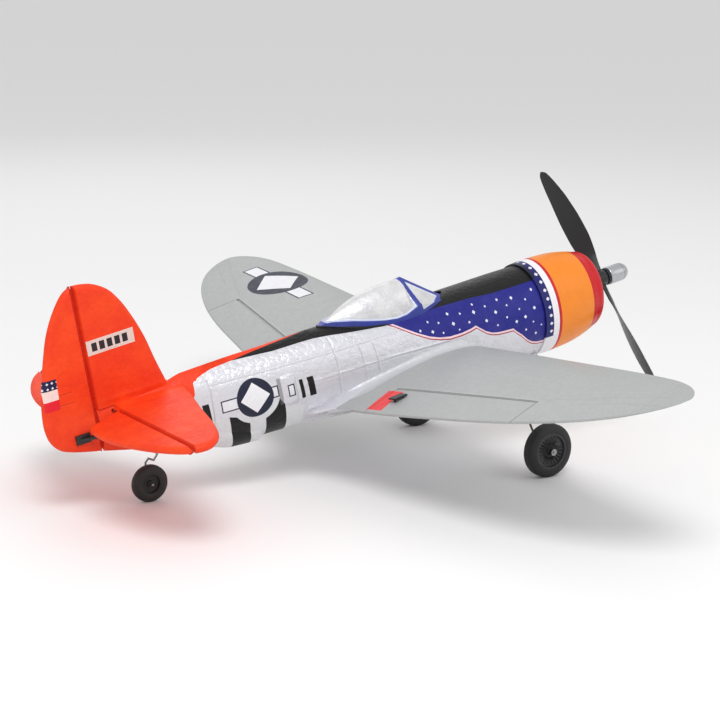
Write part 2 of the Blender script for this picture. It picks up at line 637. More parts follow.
SILVER = srgb(216, 216, 222)
WINGC = srgb(170, 172, 172)
ORANGE = srgb(236, 60, 20)
COWLO = srgb(240, 137, 38)
RED = srgb(198, 16, 28)
NAVY = srgb(30, 34, 56)
BLUE = srgb(28, 30, 128)
FRAMEB = srgb(54, 74, 170)
WHITE = srgb(232, 232, 236)
PALE = srgb(214, 216, 219)
BLACK = srgb(12, 12, 13)


def stars(m, u, v, lst, ru=1.0):
    """Small plain four-point diamonds."""
    s = None
    for (a, b, r) in lst:
        q = m.diamond(u, v, a, b, r * ru, r)
        s = q if s is None else s.max(q)
    return s


def roundel(m, u, v, cu, cv, r, bar_in, bar_out, bar_h, base, ring=None):
    """Plain navy disc with a pale diamond and two pale side bars."""
    au = (u - cu).abs(); av = (v - cv).abs()
    bar_o = m.between(au, bar_in - 0.2, bar_out) * (av < bar_h)
    bar_i = m.between(au, bar_in - 0.6, bar_out - r * 0.055) * (av < (bar_h - r * 0.055))
    d = m.disc(u, v, cu, cv, r)
    dia = m.diamond(u, v, cu, cv, r * 0.80, r * 0.80)
    return over(m, base, [(bar_o, NAVY), (bar_i, WHITE), (d, NAVY), (dia, WHITE)])


# --------------------------------------------------------------- fuselage
def mat_fuselage():
    m = Mat("paint_fuselage"); x, y, z = m.x, m.y, m.z
    ay = y.abs()
    col = SILVER
    # belly bands
    low = z < (m.ramp(x, [(-250.5, -0.5), (-242, -0.9), (-232, -4), (-224, -4), (-215.5, 1.2), (-212.4, -3.6), (-202.3, -6.0)]))
    cx, cz = -227.7, 4.9
    ring = m.disc(x, z, cx, cz, 12.6)
    d_x = x + z * 0.10
    band = lambda a, b: m.between(d_x, a, b) * low
    col = over(m, col, [(band(-251.0, -242.2), PALE), (band(-242.2, -232.4), BLACK), (band(-232.4, -224.2), PALE), (band(-224.2, -213.4), BLACK),
                        (band(-213.4, -203.4), PALE), (ring * low, PALE)])
    # disc with side bars, plain blocks
    au = x - cx
    bar_l = m.box2(x, z, -245.2, -236.0, 1.9, 7.9); bar_li = m.box2(x, z, -244.6, -236.0, 2.5, 7.3)
    bar_r = m.box2(x, z, -220.0, -215.4, 2.2, 7.9); bar_ri = m.box2(x, z, -220.0, -216.0, 2.8, 7.3)
    bar_3 = m.box2(x, z, -210.9, -207.3, 0.6, 6.6); bar_3i = m.box2(x, z, -210.3, -207.9, 1.2, 6.0)
    side = (z * 0 + 1)
    disc = m.disc(x, z, cx, cz, 9.5)
    dia = m.diamond(x, z, cx, cz, 7.6, 7.6)
    blocks = m.box2(x + z * 0.06, z, -254.0, -250.6, -0.6, 8.6).max(m.box2(x + z * 0.06, z, -203.9, -202.0, -2.3, 7.3)).max(m.box2(x + z * 0.06, z, -199.6, -196.2, -2.3, 7.3))
    col = over(m, col, [(bar_l.max(bar_r).max(bar_3), NAVY), (bar_li.max(bar_ri).max(bar_3i), WHITE), (disc, NAVY), (dia, WHITE), (blocks, BLACK)])
    # dark notch behind the raised panel
    notch = m.box2(x, z, -215.4, -213.6, -2.6, 10.6) * (ay > 4)
    col = over(m, col, [(notch * 0.55, srgb(90, 92, 96))])
    # black spine, nose top
    zb = m.ramp(x, [(-236, 25.5), (-232, 23.2), (-222, 22.7), (-211, 22.2), (-196, 22.3), (-188.6, 22.2), (-180.5, 21.6), (-168.6, 20.2), (-157.3, 19.0), (-148, 18.6), (-125, 18.3), (-119.4, 18.5), (-97.5, 17.8), (-84.8, 16.9), (-72.3, 16.6), (-56, 16.3)])
    black = (z > zb) * (x > -234)
    # orange spine line and tail
    yl = m.ramp(x, [(-262, 9.0), (-252, 4.6), (-244, 3.3), (-232, 2.9), (-223, 2.2), (-212, 1.5), (-200, 0.8), (-190, 0.05)])
    spine = (ay < yl) * (z > 20) * (x < -190) * (x > -262)
    xo = m.ramp(z, [(-14, -263), (0, -261), (12, -258), (14.6, -256.3), (19.2, -255.2), (21.4, -252.6), (23, -249), (27, -242)])
    tail = x < xo
    # blue nose panel with scalloped trim
    low_pts = [(-150, 20.4), (-145.7, 18.1), (-140.9, 14.8), (-135.7, 11.4), (-129.0, 7.7), (-123.6, 5.8), (-117.8, 4.6), (-110.4, 4.4), (-104.5, 4.9), (-101.3, 5.6),
               (-99.3, 3.8), (-95.9, 1.1), (-92.5, -0.6), (-89.3, -1.4), (-85.5, -1.9), (-83.1, -2.1), (-79.0, -2.4), (-78.2, -3.3), (-76.4, -5.1), (-74.2, -6.9), (-69.6, -11.5), (-66.5, -13.6), (-62.9, -15.0), (-59.5, -15.6), (-55, -15.9)]
    zl = m.ramp(x, low_pts)
    fwd = x > -150
    blue = (z > zl) * fwd * (black.inv())
    trim_w = (z > (zl - 0.85)) * (z < (zl + 0.1)) * fwd * (x < -57)
    trim_r = (z > (zl - 1.45)) * (z < (zl - 0.85)) * fwd * (x < -57)
    st = stars(m, x, z, [(-133, 11.6, 0.7), (-127, 14.2, 0.6), (-126.5, 9.4, 0.9), (-121.4, 12.4, 0.6), (-120.8, 7.4, 0.6), (-114.4, 14.8, 0.8), (-113.5, 9.9, 1.0), (-111.2, 6.4, 0.55),
                         (-107.6, 13.2, 0.6), (-104.3, 8.2, 0.7), (-99.7, 11.9, 1.0), (-98.5, 15.2, 0.6), (-94.2, 6.2, 0.9), (-92.0, 12.7, 0.6), (-88.2, 2.2, 0.6), (-87.3, 8.6, 1.0),
                         (-83.7, 13.7, 0.7), (-81.5, 4.4, 0.7), (-79.4, 9.9, 0.6), (-76.2, 0.6, 0.9), (-75.1, 12.4, 0.9), (-72.7, 6.2, 0.6), (-70.8, -5.4, 0.7), (-70.1, 1.4, 1.0),
                         (-67.2, 9.6, 0.65), (-65.5, -2.6, 0.6), (-64.2, -9.3, 0.8), (-63.2, 4.2, 1.0), (-61.3, 12.9, 0.8), (-60.3, -5.8, 0.6)])
    nb = m.noise(0.10, 3, 0.6, off=5.0)
    bl = m.mix(((nb - 0.5) * 2.2).clamp(), BLUE, srgb(56, 52, 148))
    col = over(m, col, [(blue, bl), (blue * st, srgb(225, 226, 240)), (trim_r, srgb(168, 60, 66)), (trim_w, srgb(246, 214, 222)), (black, BLACK), (spine, ORANGE), (tail, ORANGE)])
    # fine engraved marks in the silver
    zlr = m.ramp(x, [(-248, 3.6), (-199, 4.8), (-182, 4.5), (-168, 4.6), (-148, 4.5), (-124, 3.4), (-104, 2.4)])
    zu = m.ramp(x, [(-250, 16.0), (-211, 14.9), (-185, 14.4), (-167, 14.3), (-142, 14.5), (-128, 15.0)])
    sil = (z < zb) * (x > xo) * (z > -16)
    rivet = m.line(z - zu - 1.5, 0.28) * ((x.mod(1.7) / 1.7 - 0.5).abs() < 0.25) * m.between(x, -248, -132)
    rivet2 = m.line(x + 173.5 + z * 0.02, 0.28) * ((z.mod(1.7) / 1.7 - 0.5).abs() < 0.25) * m.between(z, 5.5, 14)
    vl = m.line(x + 182.3 - (z - 8) * 0.04, 0.5) * m.between(z, -6, 21)
    vl = vl.max(m.line(x + 168.3, 0.5) * m.between(z, -2, 14.3)).max(m.line(x + 160.6, 0.5) * m.between(z, -1, 14.3)).max(m.line(x + 248.9 - (z - 8) * 0.05, 0.5) * m.between(z, -14, 19))
    hl = m.line(z - zlr + 0.95, 0.5) * m.between(x, -200, -112)
    hu = m.line(z - zu, 0.45) * m.between(x, -248, -132)
    marks = (rivet * 0.5).max(rivet2 * 0.5).max(vl).max(hl * 0.5).max(hu * 0.7) * sil
    ridge = m.line(z - zlr, 0.6) * m.between(x, -203, -112) * sil
    vlight = (m.line(x + 181.4 - (z - 8) * 0.04, 0.5) * m.between(z, -6, 21)).max(m.line(x + 167.5, 0.5) * m.between(z, -2, 14.3)).max(m.line(x + 159.8, 0.5) * m.between(z, -1, 14.3)) * sil
    col = m.shade(col, 1.0 - marks * 0.07 + ridge.max(vlight * 0.7) * 0.10)
    foam_finish(m, col, rough=0.38, metal=sil * (1.0 - blue.max(disc).max(blocks).max(low * m.between(x, -251, -203))) * 0.5, bead=2.7, bead_h=0.20, grain=0.10, lines=1.0 - marks * 0.6, mottle=0.05, crumple=0.4, spec=0.25)
    return m.m


def mat_wing():
    m = Mat("paint_wing"); x, y, z = m.x, m.y, m.z
    ay = y.abs()
    col = WINGC
    # roundel on the port wing
    port = y > 60
    r = roundel(m, ay, x, 136.2, -126.0, 17.4, 15.8, 31.0, 5.2, col)
    top = z > (WING_Z0 + WING_DIH * ay + WING_INC * x + 1.0)
    col = m.mix(port * top, col, r)
    # red patch at the inner end of both ailerons
    hx = AIL_P[0] + (ay - float(AIL_P[1])) * float(AIL_A[0] / AIL_A[1])
    u = hx - x
    red = m.between(u, 2.2, 40.0) * m.between(ay - u * 0.30, 39.0, 49.6) * top
    col = over(m, col, [(red, srgb(235, 66, 66))])
    # engraved lines
    def seg(x0, y0, x1, y1, w=0.45):
        L = hypot(x1 - x0, y1 - y0); nx, ny = (y1 - y0) / L, -(x1 - x0) / L
        d = (x - x0) * nx + (ay - y0) * ny
        t = (x - x0) * ((x1 - x0) / L) + (ay - y0) * ((y1 - y0) / L)
        return m.line(d, w) * m.between(t, 0, L)
    L = seg(-125.7, 194.5, -147.5, 146.0)
    for q in ((-147.5, 146.0, -155.0, 126.0), (-132.5, 197.2, -148.0, 158.0), (-107.7, 185.0, -124.0, 187.6), (-124.0, 187.6, -143.0, 190.2), (-134.0, 92.3, -108.5, 89.2)):
        L = L.max(seg(*q, w=0.6))
    bright = m.line(u + 1.6, 0.7) * m.between(ay, 42.0, 138) * 0.8
    bright = bright.max(seg(-151.0, 137.0, -172.5, 137.0, w=0.55)).max(seg(-124.0, 187.0, -145.4, 134.4, w=0.5) * 0.6).max(seg(-134.0, 30.0, -134.4, 116.0, w=0.5) * 0.4)
    fine = m.noise(0.9, 4, 0.65, vec=m.scaled(1.0, 0.35, 1.0))
    col = m.shade(m.shade(col, 1.0 - L * 0.05 + bright * 0.16), 0.985 + (fine - 0.5) * 0.05)
    foam_finish(m, col, rough=0.48, metal=0.08, bead=2.2, bead_h=0.07, grain=0.06, lines=(1.0 - L * 0.5 + bright * 0.6) * 0.6, mottle=0.035, crumple=0.25, coat=0.05, spec=0.35)
    return m.m


def mat_fillet():
    m = Mat("paint_fillet")
    col = m.mix(m.ramp(m.y.abs(), [(17, 0.0), (34, 1.0)], True), SILVER, WINGC)
    foam_finish(m, col, rough=0.40, metal=0.3, bead=2.6, bead_h=0.2, grain=0.06, mottle=0.07, crumple=0.6)
    return m.m


def mat_cowl():
    m = Mat("paint_cowl"); x, y, z = m.x, m.y, m.z
    ang = m.t.nodes.new("ShaderNodeMath"); ang.operation = "ARCTAN2"
    m.t.links.new(y.s, ang.inputs[0]); m.t.links.new((z + 2.4).s, ang.inputs[1])
    a = X(m.t, ang.outputs[0])
    e = x + (z + 2.4) * 0.0
    navy = (x < -52.6) * (z > -14.5)
    seam_w = m.between(x, -58, -57.0) * (z > -14.5)
    white = m.between(x, -58.5, -48.9)
    redl = m.between(x, -48.9, -47.1)
    lip = x > -23.2
    per = 2 * pi / 30
    da = (a.mod(per) / per - 0.5) * (per * 23.5)
    st = (((x + 54.2).abs() / 1.1 + da.abs() / 1.1) < 1.0) * navy
    nz = m.noise(0.07, 3, 0.6, off=9.0)
    oc = m.mix(((nz - 0.45) * 2.0).clamp(), COWLO, srgb(234, 128, 34))
    inner = m.disc(y, z, 0.0, -2.3, 30.0) * 0
    col = over(m, oc, [(white, srgb(235, 233, 238)), (redl, srgb(196, 30, 36)), (navy, srgb(24, 27, 98)), (st, srgb(226, 226, 240)), (lip, RED)])
    top_dark = (z > 17.5) * (x < -55.6)
    col = over(m, col, [(top_dark * 0.85, srgb(24, 24, 34))])
    foam_finish(m, col, rough=0.38, bead=2.9, bead_h=0.05, grain=0.035, mottle=0.03, coat=0.08, crumple=0.2, spec=0.3)
    return m.m


def mat_inside():
    m = Mat("foam_raw_inside")
    col = m.mix(m.noise(0.4, 3), srgb(196, 196, 198), srgb(216, 216, 216))
    foam_finish(m, col, rough=0.7, bead=3.0, bead_h=0.25, grain=0.08, coat=0.0, mottle=0.09)
    return m.m


def mat_tail():
    m = Mat("paint_tail"); x, y, z = m.x, m.y, m.z
    col = ORANGE
    nz = m.noise(0.06, 3, 0.6, off=21.0)
    col = m.mix(((nz - 0.45) * 2.0).clamp(), col, srgb(253, 86, 28))
    ay = y.abs()
    thin = ay < 3.2
    # plain plate on the fin with five plain dark blocks
    sk = z - (x + 290) * 0.015
    plate = m.box2(x, sk, -302.6, -278.6, 46.7, 53.7) * thin * (z > 40)
    bx = (x + 300.2).mod(3.9)
    blk = plate * m.box2(x, sk, -300.4, -281.2, 48.2, 52.2) * (bx < 2.7)
    # rear patch: plain navy, white and red fields
    pu = x - (z - 26) * 0.045
    p1 = m.box2(pu, z, -328.0, -320.6, 36.2, 41.0) * thin
    p2 = m.box2(pu, z, -328.0, -320.6, 31.2, 36.2) * thin
    p3 = m.box2(pu, z, -328.0, -320.6, 26.4, 31.2) * thin
    dots = (((pu.mod(2.4) / 2.4 - 0.5).abs() + (z.mod(2.4) / 2.4 - 0.5).abs()) < 0.26) * p1
    groove = m.line(x - RUD_X, 1.5) * (z > 2) * thin
    groove2 = m.line(x - ELEV_X, 1.4) * (ay > 8) * m.between(z, 14, 22.5)
    col = over(m, col, [(plate, srgb(222, 208, 200)), (blk, srgb(44, 40, 44)), (p1, srgb(30, 32, 70)), (dots, WHITE), (p2, srgb(240, 214, 208)), (p3, srgb(226, 30, 46)),
                        (groove.max(groove2) * 0.75, srgb(176, 10, 12))])
    L = m.line(z - 32.6, 0.4) * m.between(x, -320, -313.8) * thin
    L = L.max(m.line(z - 27.6, 0.4) * m.between(x, -320.5, -313.5) * thin).max(m.line(z - 31.0 + (x + 268) * 0.2, 0.4) * m.between(x, -290, -268) * 0)
    foam_finish(m, col, rough=0.5, bead=3.2, bead_h=0.12, grain=0.04, mottle=0.05, coat=0.05, lines=1.0 - L, crumple=0.35, spec=0.25)
    return m.m


CAN_LOW = [(-181, 25.4), (-177.7, 24.6), (-173, 23.4), (-166, 22.2), (-160, 20.8), (-151, 19.4), (-142, 17.2), (-130, 16.4), (-116.5, 18.4), (-107.6, 20.2), (-104, 20.8)]
CAN_HI = [(-181, 25.6), (-177.5, 26.0), (-174.7, 26.2), (-166, 25.0), (-159, 23.3), (-149, 21.0), (-142, 20.0), (-136, 20.4), (-130.5, 22.2), (-127.4, 23.6)]
SILL_W = [(-181.5, 0.8), (-179.0, 2.2), (-174.0, 5.0), (-166.5, 8.6), (-159.7, 10.8), (-151.0, 12.0), (-138.0, 12.5), (-129.5, 12.3), (-121.0, 11.0), (-113.0, 8.4), (-108.0, 5.9), (-105.4, 3.6)]
WS_A, WS_B = (-129.6, 1.5, 35.9), (-109.6, 3.0, 21.7)       # top rear and front corners of the windscreen side pane


def can_masks(x, y, z, M=None):
    """Distance-like values (mm, > 0 inside) of the panes; works on numbers or shader values."""
    ab = (lambda v: v.abs()) if M is not None else np.abs
    mn = (lambda p, q: p.min(q)) if M is not None else np.minimum
    mx = (lambda p, q: p.max(q)) if M is not None else np.maximum
    cur = (lambda v, P: M.ramp(v, P)) if M is not None else (lambda v, P: np.interp(v, [p[0] for p in P], [p[1] for p in P]))
    ay = ab(y)
    xb = (z - 21.0) * -0.235 + -127.2
    zh = cur(x, CAN_HI)
    aft = mn(mn((xb - 1.5) - x, (z - zh) * 1.0), x + 177.0)
    k = (WS_A[2] - WS_B[2]) / (WS_A[0] - WS_B[0])
    ze = (x - WS_B[0]) * k + WS_B[2]
    zb = (x + 126.5) * 0.165 + 19.9
    side = mn(mn(x - (xb + 1.3), (ze - z) * 0.80 - 1.3), (z - zb) * 1.0)
    front = mn(mn(x - (xb + 1.8), (x - WS_B[0]) * -0.075 * -1.0 + 1.9 - ay), mn((z - (ze - 0.4)) * 2.0, (z - 24.2) * 1.2))
    return aft, side, front


def mat_canopy():
    m = Mat("paint_canopy"); x, y, z = m.x, m.y, m.z
    n = m.noise(0.10, 4, 0.6, off=3.0)
    glass = m.mix(((n - 0.35) * 1.8).clamp(), srgb(204, 204, 207), srgb(240, 240, 238))
    aft, side, front = can_masks(x, y, z, m)
    d = aft.max(side).max(front)
    pane = d > 0.0
    shade = m.ramp(z, [(16, 0.92), (24, 0.97), (31, 1.05), (37, 1.0)], True)
    fr = m.mix(((m.noise(0.25, 3, 0.6, off=8.0) - 0.4) * 1.6).clamp(), srgb(40, 56, 152), srgb(30, 44, 130))
    hi = m.between(d, -0.1, 0.45)
    low = z < m.ramp(x, CAN_LOW)
    under = m.mix((x > -147.0), BLACK, BLUE)
    col = over(m, fr, [(pane, m.shade(glass, shade)), (hi * 0.75, srgb(214, 220, 242)), (low, under)])
    foam_finish(m, col, rough=0.36, metal=pane * 0.35, bead=2.6, bead_h=0.12, grain=0.04, mottle=0.04, coat=0.25, crumple=0.35)
    return m.m


def simple(name, col, rough=0.4, metal=0.0, grain=0.02, scale=1.2, var=0.08, coat=0.0, aniso=None, spec=None, dust=0.0, alpha=None):
    m = Mat(name)
    n = m.noise(scale, 4, 0.6)
    n2 = m.noise(scale * 0.12, 2, 0.5, off=17.0)
    c = m.shade(col, 1.0 + (n - 0.5) * var + (n2 - 0.5) * var)
    if dust:
        g = m.t.nodes.new("ShaderNodeNewGeometry")
        p = X(m.t, g.outputs["Pointiness"])
        c = m.mix(((p - 0.52) * 9.0).clamp() * dust, c, tuple(min(1.0, v * 2.2 + 0.08) for v in col))
    m.link("Base Color", c); m.link("Metallic", metal)
    m.link("Roughness", (rough + (n - 0.5) * 0.14).clamp()); m.link("Coat Weight", coat)
    v = m.scaled(0.12, 1, 1) if aniso else None
    h = m.noise(scale * (6 if aniso else 2.5), 3, 0.6, vec=v)
    m.t.links.new(m.bump(h, grain), m.b.inputs["Normal"])
    return m


# ==========================================================================
# pieces
# ==========================================================================
M_FUSE, M_WING, M_FIL, M_COWL, M_TAIL, M_CAN = mat_fuselage(), mat_wing(), mat_fillet(), mat_cowl(), mat_tail(), mat_canopy()
M_IN = mat_inside()

BLACKP = simple("black_nylon", srgb(26, 26, 27), rough=0.42, grain=0.01, scale=2.0, var=0.10, coat=0.05).m
PROPP = simple("propeller_nylon", srgb(20, 20, 21), rough=0.38, grain=0.008, scale=1.2, var=0.14, coat=0.08).m


# ---------------------------------------------------------- fuselage halves
XS = stations(-303.4, -57.5, 0.85, extra=([-252 + 0.3 * k for k in range(20)], [-184.6 + 0.22 * k for k in range(22)],
                                          [-170 + 0.24 * k for k in range(14)], [-162.2 + 0.24 * k for k in range(14)], [-216.6 + 0.24 * k for k in range(18)],
                                          [-207.4 + 0.24 * k for k in range(12)], [-226.2 + 0.15 * k for k in range(12)]))


def fuselage_half(port):
    n = 110
    rings = []
    for x in XS:
        r = fuse_ring(x, n)
        # bevel of the moulded rudder hinge
        lim = -303.85 + np.abs(r[:, 1]) * BEV
        r[:, 0] = np.maximum(r[:, 0], lim)
        rings.append(r)
    V, F = loft_rings(rings)
    ob = to_obj("fus", V, F, M_FUSE)
    hb = box_obj("hb", -118.0, -61.0, -13.2, 13.2, -40, -19.4, M_IN)
    boolean(ob, [hb]); drop(hb)
    # root fairing
    fr = []
    for y, fat in ((6.0, 1.16), (8.0, 1.15), (10.7, 1.14), (13.3, 1.12), (16.0, 1.10), (18.0, 1.08), (20.0, 1.05), (22.0, 1.02), (24.03, 1.0)):
        le, te, tr = [float(np.ravel(v)[0]) for v in wing_par(np.array([min(max(y, 8.0), 24.0)]))]
        fr.append(foil_ring(y, le, te, tr, fat=fat, n=44))
    V, F = loft_rings(fr)
    f = to_obj("fair", V, F, M_FUSE)
    boolean(ob, [f], "UNION"); drop(f)
    # equipment bay
    br = []
    for x in stations(-199.0, -56.5, 4.0):
        zt, zb, w, zc = [float(np.ravel(v)[0]) for v in fuse_par(np.array([min(x, -57.5)]))]
        a = np.linspace(0, 2 * pi, 72, endpoint=False)
        rz = np.where(np.cos(a) >= 0, zt - zc - 4.6, zc - zb - 4.6)
        yy = (w - 4.6) * np.sin(a); zz = zc + rz * np.cos(a)
        br.append(np.stack([np.full_like(yy, x), yy, np.minimum(zz, 7.6)], -1))
    V, F = loft_rings(br)
    bay = to_obj("bay", V, F, M_IN)
    # seat of the canopy
    can = to_obj("cs", *canopy_shell(0.12, 48, 60), M_IN)
    # tunnels of the rudder and elevator rods, bush of the tail leg
    if port:
        V, F = lathe([(0, 0), (0, 1.9), (160, 1.9), (160, 0)], (-144.0, 14.45, -4.2), (-152.0, 0, 15.6), n=20)
    else:
        V, F = lathe([(0, 0), (0, 1.7), (126, 1.7), (126, 0)], (-184.0, 6.7, 2.9), (-120.0, 0, 8.05), n=20)
    t1 = to_obj("t1", V, F, M_IN)
    V, F = lathe([(0, 0), (0, 2.66), (4.95, 2.66), (4.95, 1.74), (16.4, 1.74), (16.4, 1.2), (18.5, 1.2), (18.5, 0)], (-277.4, 0, -13.0), (0, 0, 1), n=28)
    t3 = to_obj("t3", V, F, M_IN)
    V, F = lathe([(-40, 0), (-40, 0.8), (40, 0.8), (40, 0)], (ELEV_X, 0, STAB_Z), (0, 1, 0), n=16)
    t4 = to_obj("t4", V, F, M_IN)
    boolean(ob, [can, t3, t4, t1, bay])
    drop(bay, can, t1, t3, t4)
    return ob


def box_obj(name, x0, x1, y0, y1, z0, z1, mat):
    V = [(x, y, z) for x in (x0, x1) for y in (y0, y1) for z in (z0, z1)]
    F = [(0, 1, 3, 2), (4, 6, 7, 5), (0, 4, 5, 1), (2, 3, 7, 6), (0, 2, 6, 4), (1, 5, 7, 3)]
    return to_obj(name, V, F, mat)


CANOPY_FLOOR = 17.4


def canopy_shell(grow, n, ns):
    """Solid foam canopy let into the fuselage top."""
    C = np.array(CANOPY)
    xs = np.concatenate([np.linspace(C[0, 0] + grow, C[1, 0], 12, endpoint=False), np.linspace(C[1, 0], C[-2, 0], ns - 24), np.linspace(C[-2, 0], C[-1, 0] - grow, 13)[1:]])
    rings = []
    for x in xs:
        xi = min(max(x, C[-1, 0]), C[0, 0])
        zt = float(pchip(C[::-1, 0], C[::-1, 1], np.array([xi]))[0]) + grow
        w = float(pchip(C[::-1, 0], C[::-1, 2], np.array([xi]))[0]) + grow
        h = zt - (CANOPY_FLOOR - grow)
        a = np.linspace(0, pi, n)
        yy = w * np.cos(a); zz = np.sin(a) ** 0.92 * h
        yy = yy * (1 - 0.16 * (zz / h) ** 2)
        rings.append(np.stack([np.full(n, x), yy, CANOPY_FLOOR - grow + zz], -1))
    return loft_rings(rings)


half = fuselage_half(True)
half.name = half.data.name = "fuselage_half_left"
other = fuselage_half(False)
other.name = other.data.name = "fuselage_half_right"
other.data.transform(Matrix.Scale(-1, 4, (0, 1, 0))); other.data.flip_normals()
for o in (half, other):
    for p in o.data.polygons:
        p.use_smooth = True
    o.data.set_sharp_from_angle(angle=radians(32))
place(half, "airframe", "foam_silver", "fuselage_left")
place(other, "airframe", "foam_silver", "fuselage_right")


# ------------------------------------------------------------ battery hatch
def hatch():
    """Belly cover: outer skin below, flat rim and battery pocket above."""
    xs = [-117.75, -117.6, -117.2] + list(np.linspace(-116.6, -112.45, 5)) + [-112.4] + list(np.linspace(-111.8, -70.0, 40)) + [-69.4] + list(np.linspace(-69.3, -62.0, 8)) + [-61.6, -61.4, -61.25]
    ys = [-12.95, -12.8, -12.5] + list(np.linspace(-12.0, -9.45, 6)) + [-9.4] + list(np.linspace(-9.2, 9.2, 41)) + [9.4] + list(np.linspace(9.45, 12.0, 6)) + [12.5, 12.8, 12.95]
    xs, ys = np.array(xs), np.array(ys)
    nx, ny = len(xs), len(ys)
    V, F = [], []
    for top in (0, 1):
        for x in xs:
            zt, zb, w, zc = [float(np.ravel(v)[0]) for v in fuse_par(np.array([x]))]
            for y in ys:
                if top:
                    z = -23.6 if (-112.41 <= x <= -69.39 and abs(y) <= 9.41) else -19.6
                else:
                    z = max(zc - (zc - zb) * sqrt(1 - (y / w) ** 2), -27.0)
                    e = min(x + 117.75, -61.25 - x, 12.95 - abs(y))
                    z += 0.35 * max(0.0, 1 - e / 0.4) ** 2
                V.append((x, y, z))
    n = nx * ny
    for i in range(nx - 1):
        for j in range(ny - 1):
            a, b, c, d = i * ny + j, i * ny + j + 1, (i + 1) * ny + j + 1, (i + 1) * ny + j
            F.append((a, b, c, d)); F.append((n + d, n + c, n + b, n + a))
    for i in range(nx - 1):
        for j in (0, ny - 1):
            a, b = i * ny + j, (i + 1) * ny + j
            F.append((a, b, n + b, n + a))
    for j in range(ny - 1):
        for i in (0, nx - 1):
            a, b = i * ny + j, i * ny + j + 1
            F.append((a, b, n + b, n + a))
    return to_obj("hatch", V, F, M_FUSE, sharp=30)


h = hatch(); h.name = h.data.name = "battery_hatch_cover"
place(h, "hatch", "foam_silver", "battery_hatch")


# -------------------------------------------------------------------- canopy
def canopy():
    """Moulded canopy: bubble, proud sill and raised frames, facetted windscreen."""
    C = np.array(CANOPY)
    n = 130
    sx, sw = [p[0] for p in SILL_W], [p[1] for p in SILL_W]
    rings = []
    for x in stations(-105.4, -181.4, 0.5):
        ws = float(pchip(sx, sw, np.array([x]))[0])
        xi = min(max(x, C[-1, 0]), C[0, 0])
        zt = float(pchip(C[::-1, 0], C[::-1, 1], np.array([xi]))[0])
        w = float(pchip(C[::-1, 0], C[::-1, 2], np.array([xi]))[0])
        k = (WS_A[2] - WS_B[2]) / (WS_A[0] - WS_B[0])
        ze = min((x - WS_B[0]) * k + WS_B[2], 36.0) if x < WS_B[0] else WS_B[2] - (x - WS_B[0]) * 0.42
        zh = float(np.interp(x, [p[0] for p in CAN_HI], [p[1] for p in CAN_HI])) if x < -127.4 else max(20.6, 23.6 - (x + 127.4) * 0.22)
        zh = min(zh, zt + 0.2 if x < -150 else 99, ze - 0.4 if x > -129.6 else 99)
        # round bubble, from the sill over the top
        hgt = max(zt - CANOPY_FLOOR, 2.0)
        a = np.linspace(0, pi / 2, 400)
        by = w * np.cos(a); bz = np.sin(a) ** 0.92 * hgt; by = by * (1 - 0.16 * (bz / hgt) ** 2); bz = bz + CANOPY_FLOOR
        keep = bz > zh
        by, bz = by[keep], bz[keep]
        if len(by) < 4:
            by, bz = np.array([ws * 0.8, ws * 0.5, 0.0]), np.array([zh, zh + 0.05, zh + 0.1])
        by = np.minimum(by, ws - 0.35)
        L = np.concatenate([[0], np.cumsum(np.hypot(np.diff(by), np.diff(bz)))])
        t = np.linspace(0, L[-1], 56)
        P = np.stack([np.interp(t, L, by), np.interp(t, L, bz)], -1)
        # flat-sided windscreen
        ey = WS_B[1] if x > WS_B[0] else WS_B[1] + (WS_A[1] - WS_B[1]) * (x - WS_B[0]) / (WS_A[0] - WS_B[0])
        ey = min(ey, ws * 0.7)
        q0, q1, q2 = np.array([max(ws - 0.9, ey + 0.3), zh]), np.array([ey, ze]), np.array([0.0, ze + 0.35])
        l1, l2 = np.linalg.norm(q1 - q0), np.linalg.norm(q2 - q1)
        Q = [q0 + (q1 - q0) * u for u in np.linspace(0, 1, 38)] + [q1 + (q2 - q1) * u for u in np.linspace(0, 1, 19)[1:]]
        Q = np.array(Q)
        f = float(sstep(-132.6, -129.4, x))
        P = P * (1 - f) + Q * f
        side = [(ws, CANOPY_FLOOR - 0.2), (ws, zh - 1.6), (ws, zh - 0.5), (ws - 0.12, zh - 0.18), (ws - 0.4, zh)]
        H = np.vstack([np.array(side), P])
        # relief of the panes
        m_ = np.maximum.reduce(can_masks(np.full(len(H), x), H[:, 0], H[:, 1]))
        nrm = np.gradient(H, axis=0); nrm = np.stack([nrm[:, 1], -nrm[:, 0]], -1); nrm /= np.maximum(np.linalg.norm(nrm, axis=1, keepdims=True), 1e-6)
        dep = -0.45 * sstep(-0.15, 0.35, m_)
        dep[:5] = 0
        H = H + nrm * dep[:, None]
        H[-1, 0] = 0.0
        ring = np.vstack([H, np.stack([-H[::-1, 0], H[::-1, 1]], -1)[1:]])
        rings.append(np.stack([np.full(len(ring), x), ring[:, 0], ring[:, 1]], -1))
    V, F = loft_rings(rings)
    return to_obj("canopy_moulding", V, F, M_CAN, sharp=42)


place(canopy(), "airframe", "foam_silver", "canopy")


